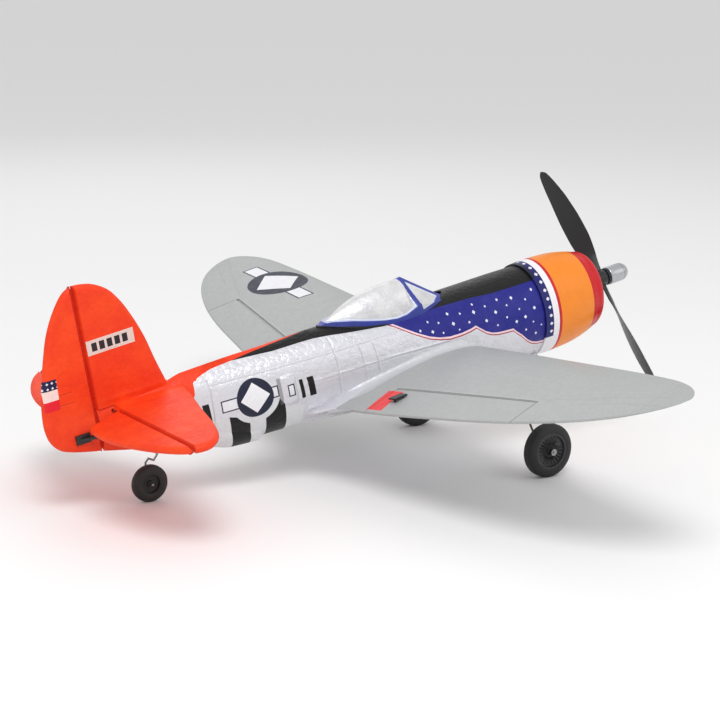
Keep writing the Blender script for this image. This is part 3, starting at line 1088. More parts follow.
# ---------------------------------------------------------------------- cowl
def cowl():
    C = np.array(COWL)
    def sec(x, k):
        return float(pchip(C[:, 0], C[:, k], np.array([x]))[0])
    n = 144
    a = np.linspace(0, 2 * pi, n, endpoint=False)
    def ring(x, w, h, zc):
        return np.stack([np.full(n, x), w * np.sin(a), zc + h * np.cos(a)], -1)
    R = []
    # outer skin from the rear edge to the nose lip
    for x in stations(-57.4, -18.5, 1.0):
        R.append(ring(x, sec(x, 1), sec(x, 2), sec(x, 3)))
    x0 = -18.5
    w0, h0, z0 = sec(x0, 1), sec(x0, 2), sec(x0, 3)
    # rolled lip running into the mouth
    for t in np.linspace(0, 1, 14)[1:]:
        th = t * pi / 2
        k = 1 - cos(th)
        R.append(ring(x0 + 5.3 * sin(th), w0 + (14.2 - w0) * k, h0 + (17.2 - h0) * k, z0 + (-2.2 - z0) * k))
    for t in np.linspace(0, 1, 8)[1:]:
        th = t * pi / 2
        R.append(ring(-13.2 - 2.4 * (1 - cos(th)), 14.2 - 2.4 * sin(th), 17.2 - 2.6 * sin(th), -2.2))
    for x in np.linspace(-16.0, -19.5, 5)[1:]:
        R.append(ring(x, 11.8, 14.6, -2.2))
    # inside
    for t in np.linspace(0, 1, 6)[1:]:
        R.append(ring(-19.5 - 0.4 * t, 11.8 + (sec(-21.0, 1) - 3.4 - 11.8) * t, 14.6 + (sec(-21.0, 2) - 3.4 - 14.6) * t, -2.2 - 0.2 * t))
    for x in stations(-21.0, -57.4, 3.0):
        R.append(ring(x, sec(x, 1) - 3.2, sec(x, 2) - 3.2, sec(x, 3)))
    R = np.array(R)
    V = R.reshape(-1, 3); nu = len(R)
    F = grid_faces(nu, n, True)
    o = (nu - 1) * n
    F += [(o + j, o + (j + 1) % n, (j + 1) % n, j) for j in range(n)]
    ob = to_obj("cowl_ring", V, F, M_COWL, sharp=40)
    # raised hoop round the joint with the fuselage
    return ob


place(cowl(), "airframe", "foam_cowl", "cowl")


# --------------------------------------------------------- wings and ailerons
def wing_mesh():
    ys = sorted(set(list(np.linspace(24.0, 43.0, 9)) + list(np.linspace(43.0, 190.0, 74)) + list(np.linspace(190, 196.5, 8)) + [196.5 + 3.5 * sin(t) for t in np.linspace(0, pi / 2, 12)]))
    rings = []
    for y in ys:
        le, te, tr, tip = wing_at(min(y, 199.999))
        rings.append(foil_ring(y, le, te, tr, n=56, tip=tip))
    return loft_rings(rings)


def prism(side_gap, y0, y1, name):
    """Everything behind the aileron hinge between y0 and y1."""
    V = []
    p0, p1 = AIL_P + AIL_A * 0, AIL_P + AIL_A
    ed = AIL_A / np.linalg.norm(AIL_A)
    fw = np.array([1.0, 0, 0]) - ed * ed[0]; fw /= np.linalg.norm(fw)
    up = np.cross(fw, ed)
    if up[2] < 0:
        up = -up
    k = 12 * 0.34 * (1 if side_gap > 0 else -1)
    for y in (y0, y1):
        t = (y - AIL_P[1]) / ed[1]
        c = AIL_P + ed * t
        for (u, v) in ((side_gap, 0), (side_gap + k, 12), (-60, 12), (-60, -12), (side_gap + k, -12), (-30, 0)):
            V.append(c + fw * u + up * v)
    F = []
    for i in range(5):
        j = (i + 1) % 5
        F.append((i, j, 6 + j, 6 + i))
        F.append((5, i, j)); F.append((11, 6 + j, 6 + i))
    return to_obj(name, V, F, M_WING)


V, F = wing_mesh()
AL = hypot(AIL_P[0] * 0, 0)
wing_full = to_obj("wing", V, F, M_WING, sharp=35)
ail = to_obj("ail", V, F, M_WING, sharp=35)
cut = prism(0.15, AIL_Y0, AIL_Y1, "c1")
keep = prism(-0.15, AIL_Y0 + 0.45, AIL_Y1 - 0.45, "c2")
boolean(ail, [keep], "INTERSECT")
boolean(wing_full, [cut])
drop(cut, keep)
for o, nm, body, slot in ((wing_full, "wing", "airframe", "foam_grey"), (ail, "aileron", None, "foam_grey")):
    for side, s in (("left", 1), ("right", -1)):
        q = o if s == 1 else o.copy()
        if s == -1:
            q.data = o.data.copy(); bpy.context.scene.collection.objects.link(q)
            q.data.transform(Matrix.Scale(-1, 4, (0, 1, 0))); q.data.flip_normals()
        q.name = q.data.name = nm + "_panel_" + side
        for p in q.data.polygons:
            p.use_smooth = True
        q.data.set_sharp_from_angle(angle=radians(35))
        place(q, body or ("aileron_%s_body" % side), slot, "%s_%s" % (nm, side))


# ---------------------------------------------------------- wing root fillets
def fillet_strip():
    oy = [(-100.5, 21.8), (-105, 23.0), (-121, 24.6), (-135, 25.8), (-155, 28.6), (-165, 31.6), (-172, 34.8), (-180, 37.6), (-188, 38.2), (-194.5, 34.0), (-199, 24.0)]
    uz = [(-100.5, 1.5), (-108, 3.9), (-120.2, 3.4), (-133.1, 2.6), (-150.5, -0.4), (-160, -1.8), (-169.4, -3.2), (-179.9, -6.0), (-185.2, -7.8), (-193.9, -12.6), (-199, -15.2)]
    oy = sorted(oy); uz = sorted(uz)
    rings = []
    for x in stations(-195.5, -101.0, 1.2):
        yo = float(pchip([p[0] for p in oy], [p[1] for p in oy], np.array([x]))[0])
        zu = float(pchip([p[0] for p in uz], [p[1] for p in uz], np.array([x]))[0])
        zt, zb, w, zc = [float(np.ravel(v)[0]) for v in fuse_par(np.array([x]))]
        rz = zt - zc if zu > zc else zc - zb
        s = min(max((zu - zc) / rz, -0.985), 0.985)
        yf = w * sqrt(1 - s * s)
        le, te, tr, tip = wing_at(max(yo, 24.0))
        xx = min(max(x, te + 0.6), le - 0.4)
        zw = wing_z(xx, max(yo, 24.0), 1) - (max(yo, 24.0) - yo) * WING_DIH
        # tangent directions: down the fuselage side, in along the wing
        ty, tz = -(-s / rz) * 0 + 0, -1.0
        dy = w * (-s) / sqrt(1 - s * s) / rz
        d1 = np.array([-dy, -1.0]); d1 /= np.linalg.norm(d1)
        d2 = np.array([-1.0, -WING_DIH]); d2 /= np.linalg.norm(d2)
        P0 = np.array([yf - 0.05, zu]); P2 = np.array([yo, zw - 0.05])
        # crossing of the two tangents, held close to both
        A = np.array([[d1[0], -d2[0]], [d1[1], -d2[1]]])
        try:
            t = np.linalg.solve(A, P2 - P0)
            P1 = P0 + d1 * min(max(t[0], 0.5), 14)
        except Exception:
            P1 = np.array([yf, zw])
        T = np.linspace(0, 1, 15)
        B = [(1 - q) ** 2 * P0 + 2 * q * (1 - q) * P1 + q * q * P2 for q in T]
        inner = [np.array([yo - 1.5, zw - 1.6]), np.array([min(yf, P1[0]) - 1.6, min(zw, zu) - 1.8]), np.array([yf - 2.0, zu - 0.6])]
        ring = np.array(B + inner)
        rings.append(np.stack([np.full(len(ring), x), ring[:, 0], ring[:, 1]], -1))
    return loft_rings(rings)


V, F = fillet_strip()
for side, s in (("left", 1), ("right", -1)):
    if s == -1:
        V, F = mirror_part(V, F)
    place(to_obj("root_fillet_" + side, V, F, M_FIL, sharp=30), "airframe", "foam_silver")


# ------------------------------------------------------------- tail surfaces
def outline_dist(P, Q):
    """Distance of points P (n, 2) from the polyline Q (m, 2)."""
    A, B = Q[:-1], Q[1:]
    d = np.full(len(P), 1e9)
    for a, b in zip(A, B):
        ab = b - a; L = ab @ ab
        if L < 1e-12:
            continue
        t = np.clip(((P - a) @ ab) / L, 0, 1)
        d = np.minimum(d, np.linalg.norm(P - (a + t[:, None] * ab), axis=1))
    return d


def spline_poly(pts, n=260):
    return curve_pts(pts, n)


def plate_rings(outline, s_vals, axis_first, thick, R, hinge=None, rear=False, gap=0.15, nu=46, flare=None, taper=None, s_edge=None):
    """Rings of a rounded plate. outline (m, 2) = (x, s); s runs along the span.
    Each ring is one section at constant s, between the outline's two x values."""
    O = outline
    rings = []
    for s in s_vals:
        # crossings with the outline
        xs = []
        for a, b in zip(O[:-1], O[1:]):
            if (a[1] - s) * (b[1] - s) <= 0 and abs(a[1] - b[1]) > 1e-9:
                xs.append(a[0] + (b[0] - a[0]) * (s - a[1]) / (b[1] - a[1]))
        if len(xs) < 2:
            xs = (xs + xs)[:2] if xs else [O[np.argmin(abs(O[:, 1] - s)), 0]] * 2
        xf, xb = max(xs), min(xs)
        lo_h = False
        if hinge is not None and not rear:
            xb = hinge
        if hinge is not None and rear:
            xf = hinge
        u = np.linspace(0, pi, nu)
        X_ = xf + (xb - xf) * 0.5 * (1 - np.cos(u))
        P = np.stack([X_, np.full(nu, s)], -1)
        d = outline_dist(P, O)
        h = thick / 2 * np.sqrt(np.clip(1 - (1 - np.clip(d / R, 0, 1)) ** 2, 0, 1))
        if taper is not None:
            h = h * taper(X_, s)
        if flare is not None:
            h = h + flare(X_, s)
        XU = X_.copy()
        if hinge is not None:
            if not rear:
                XU = np.maximum(X_, hinge + gap + h * BEV)
                end = hinge + gap
                ring = [(x, hh) for x, hh in zip(XU, h)] + [(end + (XU[-1] - end) * 0.02, 0.0)] + [(x, -hh) for x, hh in zip(XU[::-1], h[::-1])]
            else:
                XU = np.minimum(X_, hinge - gap - h * BEV)
                end = hinge - gap
                ring = [(end, 0.0)] + [(x, hh) for x, hh in zip(XU, h)] + [(x, -hh) for x, hh in zip(XU[::-1], h[::-1])]
        else:
            ring = [(x, hh) for x, hh in zip(XU, h)] + [(x, -hh) for x, hh in zip(XU[::-1], h[::-1])]
        ring = np.array(ring)
        rings.append((s, ring))
    return rings


def finish_plate(rings, mode, name, mat=None):
    out = []
    for s, r in rings:
        if mode == "flat":                       # plate in the x-y plane, s = y
            out.append(np.stack([r[:, 0], np.full(len(r), s), STAB_Z + r[:, 1]], -1))
        else:                                    # upright plate, s = z
            out.append(np.stack([r[:, 0], r[:, 1], np.full(len(r), s)], -1))
    V, F = loft_rings(out)
    return V, F


def end_spaced(a, b, n, dense_a=True, dense_b=True):
    u = np.linspace(0, 1, n)
    if dense_a and dense_b:
        u = 0.5 * (1 - np.cos(pi * u))
    elif dense_b:
        u = np.sin(u * pi / 2)
    elif dense_a:
        u = 1 - np.cos(u * pi / 2)
    return a + (b - a) * u


so = curve_pts([(x, y) for (y, x) in STAB_OUT], 420)
so = np.stack([so[:, 0], so[:, 1]], -1)
# fixed part: from the centre line to the tip, ahead of the hinge
tipy = so[:, 1].max()
hp = so[:, 0] > ELEV_X
y_h = so[(so[:, 0] < -290) & (so[:, 1] > 70)]
y_tip_h = float(np.interp(-ELEV_X, -y_h[:, 0], y_h[:, 1])) if len(y_h) else 82.0
ow = np.vstack([[(-257.2, -0.1)], so[: np.argmax(so[:, 1]) + 1], so[np.argmax(so[:, 1]):]])
front_out = np.vstack([[(-256.6, 0.0)], so[so[:, 0] >= ELEV_X - 1.0][:-1]]) if False else so


def stab_half():
    O = so.copy()
    # keep only the leading edge and tip as the rounded outline
    k = int(np.argmax(O[:, 1]))
    edge = O[: k + 60]
    lead = np.vstack([[(-257.4, -3.0)], edge])
    def xlead(y):
        L = O[: k + 1]
        return float(np.interp(y, L[:, 1], L[:, 0])) if y > 4 else -258.2 + (4 - y) * 0.12
    T = O[k:]; T = T[T[:, 1] > 60]
    def xtrail(y):
        return float(np.interp(-y, -T[:, 1], T[:, 0]))
    rings = []
    ys = list(np.linspace(0, 60, 34)) + list(end_spaced(60, tipy - 0.02, 40, False, True)[1:])
    for y in ys:
        xf = xlead(y)
        xb = ELEV_X
        xt = xtrail(y) if y > 77 else -400
        closed = xt > ELEV_X
        xb = max(xb, xt)
        u = np.linspace(0, pi, 46)
        X_ = xf + (xb - xf) * 0.5 * (1 - np.cos(u))
        d = outline_dist(np.stack([X_, np.full(46, y)], -1), lead)
        h = STAB_T / 2 * np.sqrt(np.clip(1 - (1 - np.clip(d / 2.6, 0, 1)) ** 2, 0, 1))
        h = h + 0.55 * np.clip(1 - abs(y) / 13, 0, 1) ** 2 * sstep(0, 3, d)
        XU = np.maximum(X_, ELEV_X + 0.15 + h * GROOVE)
        end = max(ELEV_X + 0.15, xb)
        ring = [(x, hh) for x, hh in zip(XU, h)] + [(end, 0.0)] + [(x, -hh) for x, hh in zip(XU[::-1], h[::-1])]
        ring = np.array(ring)
        rings.append(np.stack([ring[:, 0], np.full(len(ring), y), STAB_Z + ring[:, 1]], -1))
    return rings


R_ = stab_half()
L_ = [np.stack([r[:, 0], -r[:, 1], r[:, 2]], -1) for r in R_[:0:-1]]
V, F = loft_rings(L_ + R_)
place(to_obj("stabiliser_plate", V, F, M_TAIL, sharp=34), "airframe", "foam_orange", "stabiliser")


def elevator_half():
    O = so.copy()
    k = int(np.argmax(O[:, 1]))
    T = O[k:]                                     # tip, trailing edge, inner edge
    kk = int(np.argmin(T[:, 0]))
    rear_edge = T[: kk + 1]; inner = T[kk:]
    back_edge = T[T[:, 0] < ELEV_X + 2]
    y_in = 8.95
    def xb_of(y):
        if y >= rear_edge[-1, 1]:
            return float(np.interp(-y, -rear_edge[:, 1], rear_edge[:, 0]))
        return float(np.interp(-y, -inner[:, 1], inner[:, 0]))
    y_out = float(np.interp(ELEV_X, rear_edge[::-1, 0], rear_edge[::-1, 1]))
    rings = []
    ys = list(end_spaced(y_in + 0.02, 26, 34, True, False)) + list(np.linspace(26, 66, 26)[1:-1]) + list(end_spaced(66, y_out - 0.05, 34, False, True))
    for y in ys:
        xf, xb = ELEV_X, min(xb_of(y), ELEV_X - 0.3)
        u = np.linspace(0, pi, 46)
        X_ = xf + (xb - xf) * 0.5 * (1 - np.cos(u))
        d = outline_dist(np.stack([X_, np.full(46, y)], -1), T)
        s = np.clip((xf - X_) / 20.0, 0, 1)
        h = STAB_T / 2 * (1 - 0.28 * s) * np.sqrt(np.clip(1 - (1 - np.clip(d / 2.4, 0, 1)) ** 2, 0, 1))
        XU = np.minimum(X_, ELEV_X - 0.15 - h * GROOVE)
        XU = np.maximum(XU, xb)
        end = ELEV_X - 0.15
        ring = np.array([(end, 0.0)] + [(x, hh) for x, hh in zip(XU, h)] + [(x, -hh) for x, hh in zip(XU[::-1], h[::-1])])
        rings.append(np.stack([ring[:, 0], np.full(len(ring), y), STAB_Z + ring[:, 1]], -1))
    return loft_rings(rings)


V, F = elevator_half()
for side, s in (("left", 1), ("right", -1)):
    if s == -1:
        V, F = mirror_part(V, F)
    place(to_obj("elevator_plate_" + side, V, F, M_TAIL, sharp=34), "elevator_body", "foam_orange", "elevator_" + side)


def fin_plate():
    O = curve_pts(FIN_OUT, 300)                    # (x, z)
    top = O[-1, 1]
    edge = np.vstack([[(-263.5, 16.0)], O])
    rings = []
    zs = list(np.linspace(20.5, 60, 44)) + list(end_spaced(60, top - 0.02, 44, False, True)[1:])
    for z in zs:
        xf = float(np.interp(z, O[:, 1], O[:, 0])) if z > O[0, 1] else O[0, 0] + (O[0, 1] - z) * 0.15
        xb = RUD_X
        u = np.linspace(0, pi, 50)
        X_ = xf + (xb - xf) * 0.5 * (1 - np.cos(u))
        d = outline_dist(np.stack([X_, np.full(50, z)], -1), edge)
        h = FIN_T / 2 * np.sqrt(np.clip(1 - (1 - np.clip(d / 3.0, 0, 1)) ** 2, 0, 1))
        # slight swell where the fin meets the fuselage
        h = h + 1.1 * np.clip(1 - (z - 20.5) / 6.5, 0, 1) ** 2 * sstep(0, 3, d) * sstep(RUD_X + 1, RUD_X + 12, X_) * (z > 22.6)
        XU = np.maximum(X_, RUD_X + 0.15 + h * GROOVE)
        ring = np.array([(x, hh) for x, hh in zip(XU, h)] + [(RUD_X + 0.15, 0.0)] + [(x, -hh) for x, hh in zip(XU[::-1], h[::-1])])
        rings.append(np.stack([ring[:, 0], ring[:, 1], np.full(len(ring), z)], -1))
    V, F = loft_rings(rings)
    return to_obj("fin_plate", V, F, M_TAIL, sharp=34)


place(fin_plate(), "airframe", "foam_orange", "fin")


def rudder_plate():
    O = curve_pts(RUD_OUT, 420)                    # (x, z) from the top down to the foot
    rings = []
    zt, zb = O[:, 1].max(), O[:, 1].min()
    zs = list(end_spaced(zb + 0.03, 12, 30, True, False)) + list(np.linspace(12, 66, 52)[1:-1]) + list(end_spaced(66, zt - 0.02, 40, False, True))
    order = np.argsort(O[:, 1], kind="stable")
    for z in zs:
        xs = []
        for a, b in zip(O[:-1], O[1:]):
            if (a[1] - z) * (b[1] - z) <= 0 and abs(a[1] - b[1]) > 1e-9:
                xs.append(a[0] + (b[0] - a[0]) * (z - a[1]) / (b[1] - a[1]))
        xb = min(xs) if xs else RUD_X - 0.5
        xb = min(xb, RUD_X - 0.9)
        xf = RUD_X
        u = np.linspace(0, pi, 50)
        X_ = xf + (xb - xf) * 0.5 * (1 - np.cos(u))
        d = outline_dist(np.stack([X_, np.full(50, z)], -1), O)
        s = np.clip((xf - X_) / 26.0, 0, 1)
        h = FIN_T / 2 * (1 - 0.25 * s) * np.sqrt(np.clip(1 - (1 - np.clip(d / 3.0, 0, 1)) ** 2, 0, 1))
        XU = np.minimum(X_, RUD_X - 0.15 - h * GROOVE); XU = np.maximum(XU, xb)
        ring = np.array([(RUD_X - 0.15, 0.0)] + [(x, hh) for x, hh in zip(XU, h)] + [(x, -hh) for x, hh in zip(XU[::-1], h[::-1])])
        rings.append(np.stack([ring[:, 0], ring[:, 1], np.full(len(ring), z)], -1))
    V, F = loft_rings(rings)
    return to_obj("rudder_plate", V, F, M_TAIL, sharp=34)


place(rudder_plate(), "rudder_body", "foam_orange", "rudder")


# ------------------------------------------------- moulded foam hinge webs
def hinge_web(name, p0, p1, fwd, up, mat, top, low, half, vary=None):
    """Thin strip of foam along a hinge, bending between the two surfaces. Its
    section is half wide fore and aft and runs from low to top about the pivot."""
    p0, p1 = np.array(p0, float), np.array(p1, float)
    rings = []
    for t in np.linspace(0, 1, 60):
        c = p0 + (p1 - p0) * t
        tp, lo, hf = (top, low, half) if vary is None else vary(c)
        prof = [(-hf, tp), (-hf * 0.5, tp - 0.12), (0, tp - 0.2), (hf * 0.5, tp - 0.12), (hf, tp), (hf, (tp + lo) / 2), (hf, lo), (hf * 0.5, lo), (0, lo), (-hf * 0.5, lo), (-hf, lo), (-hf, (tp + lo) / 2)]
        rings.append(np.array([c + np.array(fwd) * u + np.array(up) * v for u, v in prof]))
    V, F = loft_rings(rings)
    ob = to_obj(name, V, F, mat, sharp=50)
    s_, e_ = row(p0 + np.array(fwd) * half * 0.55), row(p0 - np.array(fwd) * half * 0.55)
    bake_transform(ob)
    return ob


_ed = AIL_A / np.linalg.norm(AIL_A)
_fw = np.array([1.0, 0, 0]) - _ed * _ed[0]; _fw /= np.linalg.norm(_fw)
_up = np.cross(_fw, _ed); _up = _up if _up[2] > 0 else -_up
for side, s in (("left", 1), ("right", -1)):
    mir = np.array([1, s, 1.0])
    def vary(c):
        y = abs(c[1]); zu = wing_z(c[0], y, 1)
        tp = (zu - c[2]) - 0.75
        return tp, tp - 0.9, 0.15 + max(tp, 0.2) * 0.34 + 0.25
    q0 = (AIL_P + _ed * ((43.6 - AIL_P[1]) / _ed[1])) * mir; q1 = (AIL_P + _ed * ((135.9 - AIL_P[1]) / _ed[1])) * mir
    hinge_web("aileron_hinge_web_" + side, q0, q1, _fw * mir, _up * mir, M_WING, 1.0, 0.1, 1.0, vary)
    e0, e1 = (ELEV_X, 20.5 * s, STAB_Z), (ELEV_X, 80.5 * s, STAB_Z)
    hinge_web("elevator_hinge_web_" + side, e0, e1, (1, 0, 0), (0, 0, 1), M_TAIL, 0.35, -0.35, 0.5)
hinge_web("rudder_hinge_web", (RUD_X, 0, 1.2), (RUD_X, 0, 79.0), (1, 0, 0), (0, 1, 0), M_TAIL, 0.35, -0.35, 0.5)


# ------------------------------------------------------------------ propeller
def blade(n=44):
    st = np.array([(3.0, 5.6, 3.6), (6.0, 6.3, 3.1), (9.0, 7.0, 2.6), (16.0, 9.6, 2.0), (26.0, 12.4, 1.6), (36.0, 13.0, 1.35), (46.0, 12.0, 1.15), (55.0, 10.0, 0.95), (62.0, 7.6, 0.8), (66.5, 5.0, 0.65), (68.3, 2.8, 0.5)])
    rings = []
    rr = list(np.linspace(3.0, 62.0, 60)) + list(62 + 6.45 * np.sin(np.linspace(0, pi / 2, 22)[1:]))
    for r in rr:
        ch = float(pchip(st[:, 0], st[:, 1], np.array([min(r, 68.3)]))[0])
        th = float(pchip(st[:, 0], st[:, 2], np.array([min(r, 68.3)]))[0])
        if r > 66:
            ch *= sqrt(max(0.02, 1 - ((r - 66) / 2.5) ** 2)); 
        be = min(atan(PROP_PITCH / (2 * pi * max(r, 9.0))), radians(48))
        sw = 0.0 if r < 50 else -(r - 50) * 0.05
        ring = []
        for i in range(n):
            s_ = 0.5 * (1 - cos(pi * i / (n - 1)))
            ring.append((s_ - 0.42, (0.5 * th * (4 * s_ * (1 - s_)) ** 0.8) + 0.06))
        for i in range(n - 1, -1, -1):
            s_ = 0.5 * (1 - cos(pi * i / (n - 1)))
            ring.append((s_ - 0.42, -0.18 * th * 4 * s_ * (1 - s_) - 0.08))
        out = []
        for (c, t) in ring:
            cc = c * ch + sw
            out.append((BX + cc * sin(be) * -1 * -1 + t * cos(be), -cc * cos(be) + t * sin(be), r))
        rings.append(np.array(out))
    return loft_rings(rings)


BX = -3.6


def rotx(V, deg):
    a = radians(deg); V = np.asarray(V, float)
    c, s = cos(a), sin(a)
    return np.stack([V[:, 0], V[:, 1] * c - V[:, 2] * s, V[:, 1] * s + V[:, 2] * c], -1)


V, F = blade()
hubV, hubF = lathe([(-7.15, 1.02), (-7.15, 3.7), (-6.9, 4.2), (-6.4, 4.4), (-0.7, 4.4), (-0.3, 4.2), (-0.05, 3.9), (-0.05, 1.02), (-7.15, 1.02)], (0, 0, 0), (1, 0, 0), n=72)
V1, F1 = merge((rotx(V, -PROP_PARK), F))
V2, F2 = merge((rotx(V, 180 - PROP_PARK), F))
pb = to_obj("propeller_blades", V1, F1, PROPP, sharp=40)
pb2 = to_obj("propeller_blades2", V2, F2, PROPP, sharp=40)
ph = to_obj("propeller_hub", hubV, hubF, PROPP, sharp=40)
boolean(ph, [pb, pb2], "UNION"); drop(pb, pb2)
for p in ph.data.polygons:
    p.use_smooth = True
ph.data.set_sharp_from_angle(angle=radians(38))
ph.name = ph.data.name = "propeller_moulding"
place(ph, "prop", "black_plastic", "propeller")

# spinner nut: turned barrel with a domed nose and a collar at the foot
m = simple("spun_aluminium", srgb(176, 178, 182), rough=0.30, metal=0.75, grain=0.004, scale=0.8, var=0.06, coat=0.1)
col = over(m, srgb(182, 184, 188), [(m.between(m.x, -0.1, 1.9), srgb(52, 54, 58)), (m.between(m.x, 10.4, 10.9), srgb(150, 152, 158))])
m.link("Base Color", m.shade(col, 1.0 + (m.noise(0.5, 4) - 0.5) * 0.1))
M_NUT = m.m
prof = [(0.04, 1.02), (0.04, 4.1), (0.25, 4.55), (0.8, 4.72), (1.6, 4.72), (1.85, 4.6), (2.0, 4.78), (2.3, 4.92), (9.9, 4.93), (10.5, 4.88)]
prof += [(10.5 + 5.0 * sin(t), 4.88 * cos(t)) for t in np.linspace(0, pi / 2, 16)[1:-1]] + [(15.5, 0.0)]
prof = [(0.04, 1.02)] + prof[1:]
inner = [(9.8, 0.0), (9.8, 1.02), (0.04, 1.02)]
V, F = lathe(prof + [], (0, 0, 0), (1, 0, 0), n=112)
Vi, Fi = lathe(inner, (0, 0, 0), (1, 0, 0), n=112)
V, F = merge((V, F), (Vi, Fi))
place(to_obj("spinner_turned", V, F, M_NUT, sharp=35), "prop", "satin_aluminium", "spinner_nut")


# --------------------------------------------------------------- main wheels
def rubber(name, col):
    m = Mat(name)
    n1 = m.noise(1.4, 4, 0.6); n2 = m.noise(0.25, 3, 0.6, off=9.0)
    c = m.shade(col, 1.0 + (n1 - 0.5) * 0.22 + (n2 - 0.5) * 0.35)
    m.link("Base Color", c); m.link("Roughness", (0.62 + (n2 - 0.5) * 0.2).clamp())
    m.t.links.new(m.bump(m.noise(3.5, 3, 0.7), 0.04), m.b.inputs["Normal"])
    return m.m


M_TYRE = rubber("tyre_foam_rubber", srgb(30, 30, 31))
M_HUB = simple("hub_black", srgb(36, 36, 38), rough=0.36, grain=0.008, scale=1.6, var=0.18, coat=0.1).m


def tyre(cy):
    R, W, r0 = 13.74, 3.5, 9.22
    pr = [(-W + 0.25, r0), (-W + 0.10, r0 + 0.25), (-W, r0 + 0.7)]
    # shoulder and crown
    for t in np.linspace(0, pi / 2, 12)[1:]:
        pr.append((-W + (W * 0.62) * (1 - cos(t)), r0 + 0.7 + (R - r0 - 0.7) * sin(t) ** 0.85))
    for k in (-0.5, -0.2, 0.2, 0.5):
        pr.append((k * 2.0, R))
    pr2 = [(-a, r) for a, r in pr[:15]][::-1]
    prof = pr[:15] + pr2
    prof.append(prof[0])
    return lathe(prof, cy, (0, 1, 0), n=128)


def hub_part(c, side):
    """Moulded hub: dished disc with fine radial ribs, rim and boss."""
    R = 9.2
    V, F = [], []
    for s in (-1, 1):
        n, nr = 240, 26
        rs = np.linspace(0.68, R, nr)
        base = len(V)
        for r in rs:
            for k in range(n):
                a = 2 * pi * k / n
                h = 3.3
                if r > 8.35:
                    h = 3.28 + 0.02 * sstep(8.35, 8.6, r)
                elif r > 7.7:
                    h = 3.28 - 1.25 * (1 - sstep(7.7, 8.3, r))
                elif r > 2.3:
                    h = 2.03 - 0.25 * sstep(2.3, 5, r) + 0.25 * sstep(5, 7.6, r)
                    h += 0.62 * (max(0.0, cos(a * 24)) ** 1.4) * sstep(2.5, 3.3, r) * (1 - sstep(7.2, 7.7, r))
                else:
                    h = 2.03 + 1.35 * (1 - sstep(1.8, 2.3, r))
                V.append((c[0] + r * cos(a), c[1] + s * h, c[2] + r * sin(a)))
        F += grid_faces(nr, n, True, base) if s > 0 else [tuple(reversed(f)) for f in grid_faces(nr, n, True, base)]
    n, nr = 240, 26
    o2 = n * nr
    for ring_i in (0, nr - 1):
        for k in range(n):
            m_ = (k + 1) % n
            a, b = ring_i * n + k, ring_i * n + m_
            F.append((a, b, o2 + b, o2 + a))
    return V, F


for side, s in (("left", 1), ("right", -1)):
    c = np.array([W_C[0], W_C[1] * s, W_C[2]])
    V, F = tyre(c)
    place(to_obj("tyre_moulded_" + side, V, F, M_TYRE, sharp=50), "wheel_%s_body" % side, "black_tyre", "tyre_" + side)
    V, F = hub_part(c, s)
    place(to_obj("wheel_disc_" + side, V, F, M_HUB, sharp=42), "wheel_%s_body" % side, "black_plastic", "wheel_hub_" + side)


def tail_wheel():
    R, W = 9.0, 2.4
    pr = [(-1.15, 0.57), (-1.9, 0.57), (-1.95, 0.9), (-1.95, 1.45), (-1.8, 1.6), (-0.75, 1.7), (-0.68, 2.0), (-0.68, 4.2), (-0.8, 4.4), (-2.1, 4.55), (-2.2, 4.7), (-2.2, 5.3), (-2.35, 5.5)]
    for t in np.linspace(0, pi / 2, 10)[1:]:
        pr.append((-2.35 + 1.5 * (1 - cos(t)), 5.5 + (R - 5.5) * sin(t) ** 0.8))
    prof = pr + [(-a, r) for a, r in pr][::-1]
    prof.append(prof[0])
    V, F = lathe(prof, TW_C, (0, 1, 0), n=96)
    return V, F


V, F = tail_wheel()
place(to_obj("tail_wheel_moulded", V, F, rubber("tail_tyre", srgb(34, 33, 33)), sharp=45), "tail_wheel_body", "black_tyre", "tail_wheel")


# ==========================================================================
# carried-over hardware: real materials on the CAD geometry
# ==========================================================================
HARD = {
    "steel_wire": simple("spring_steel", srgb(150, 150, 152), rough=0.28, metal=1.0, grain=0.004, scale=1.5, var=0.14).m,
    "brass_parts": simple("brass", srgb(190, 150, 80), rough=0.32, metal=1.0, grain=0.005, scale=2.0, var=0.14).m,
    "nylon_white": simple("white_nylon", srgb(226, 224, 214), rough=0.46, grain=0.01, scale=1.6, var=0.06, coat=0.05).m,
    "servo_blue": simple("servo_case", srgb(26, 62, 132), rough=0.36, grain=0.008, scale=1.6, var=0.10, coat=0.1).m,
    "motor_steel": simple("motor_can_steel", srgb(168, 168, 172), rough=0.24, metal=1.0, grain=0.003, scale=1.0, var=0.08, aniso=True).m,
    "plywood": None, "circuit_board": None,
    "battery_wrap": simple("battery_film", srgb(34, 70, 150), rough=0.24, grain=0.05, scale=0.7, var=0.08, coat=0.5).m,
    "wire_insulation": simple("silicone_lead", srgb(150, 24, 24), rough=0.5, grain=0.01, scale=1.8, var=0.12).m,
    "glass_fibre": simple("glass_fibre_rod", srgb(214, 214, 200), rough=0.3, grain=0.01, scale=2.4, var=0.12, coat=0.2, aniso=True).m,
    "black_plastic": BLACKP, "black_tyre": M_TYRE,
}
m = Mat("birch_ply")
wv = m.noise(0.35, 5, 0.65, vec=m.scaled(1.0, 0.2, 1.6)); fine = m.noise(2.2, 3, 0.6, vec=m.scaled(1.0, 0.15, 1.0))
lay = ((m.x.mod(0.5) / 0.5 - 0.5).abs() < 0.12)
c = m.mix((wv * 1.4 - 0.2).clamp(), srgb(196, 160, 112), srgb(222, 190, 142))
m.link("Base Color", m.shade(c, 1.0 - fine * 0.14 - lay * 0.18)); m.link("Roughness", 0.62)
m.t.links.new(m.bump(fine, 0.03), m.b.inputs["Normal"])
HARD["plywood"] = m.m
m = Mat("circuit_laminate")
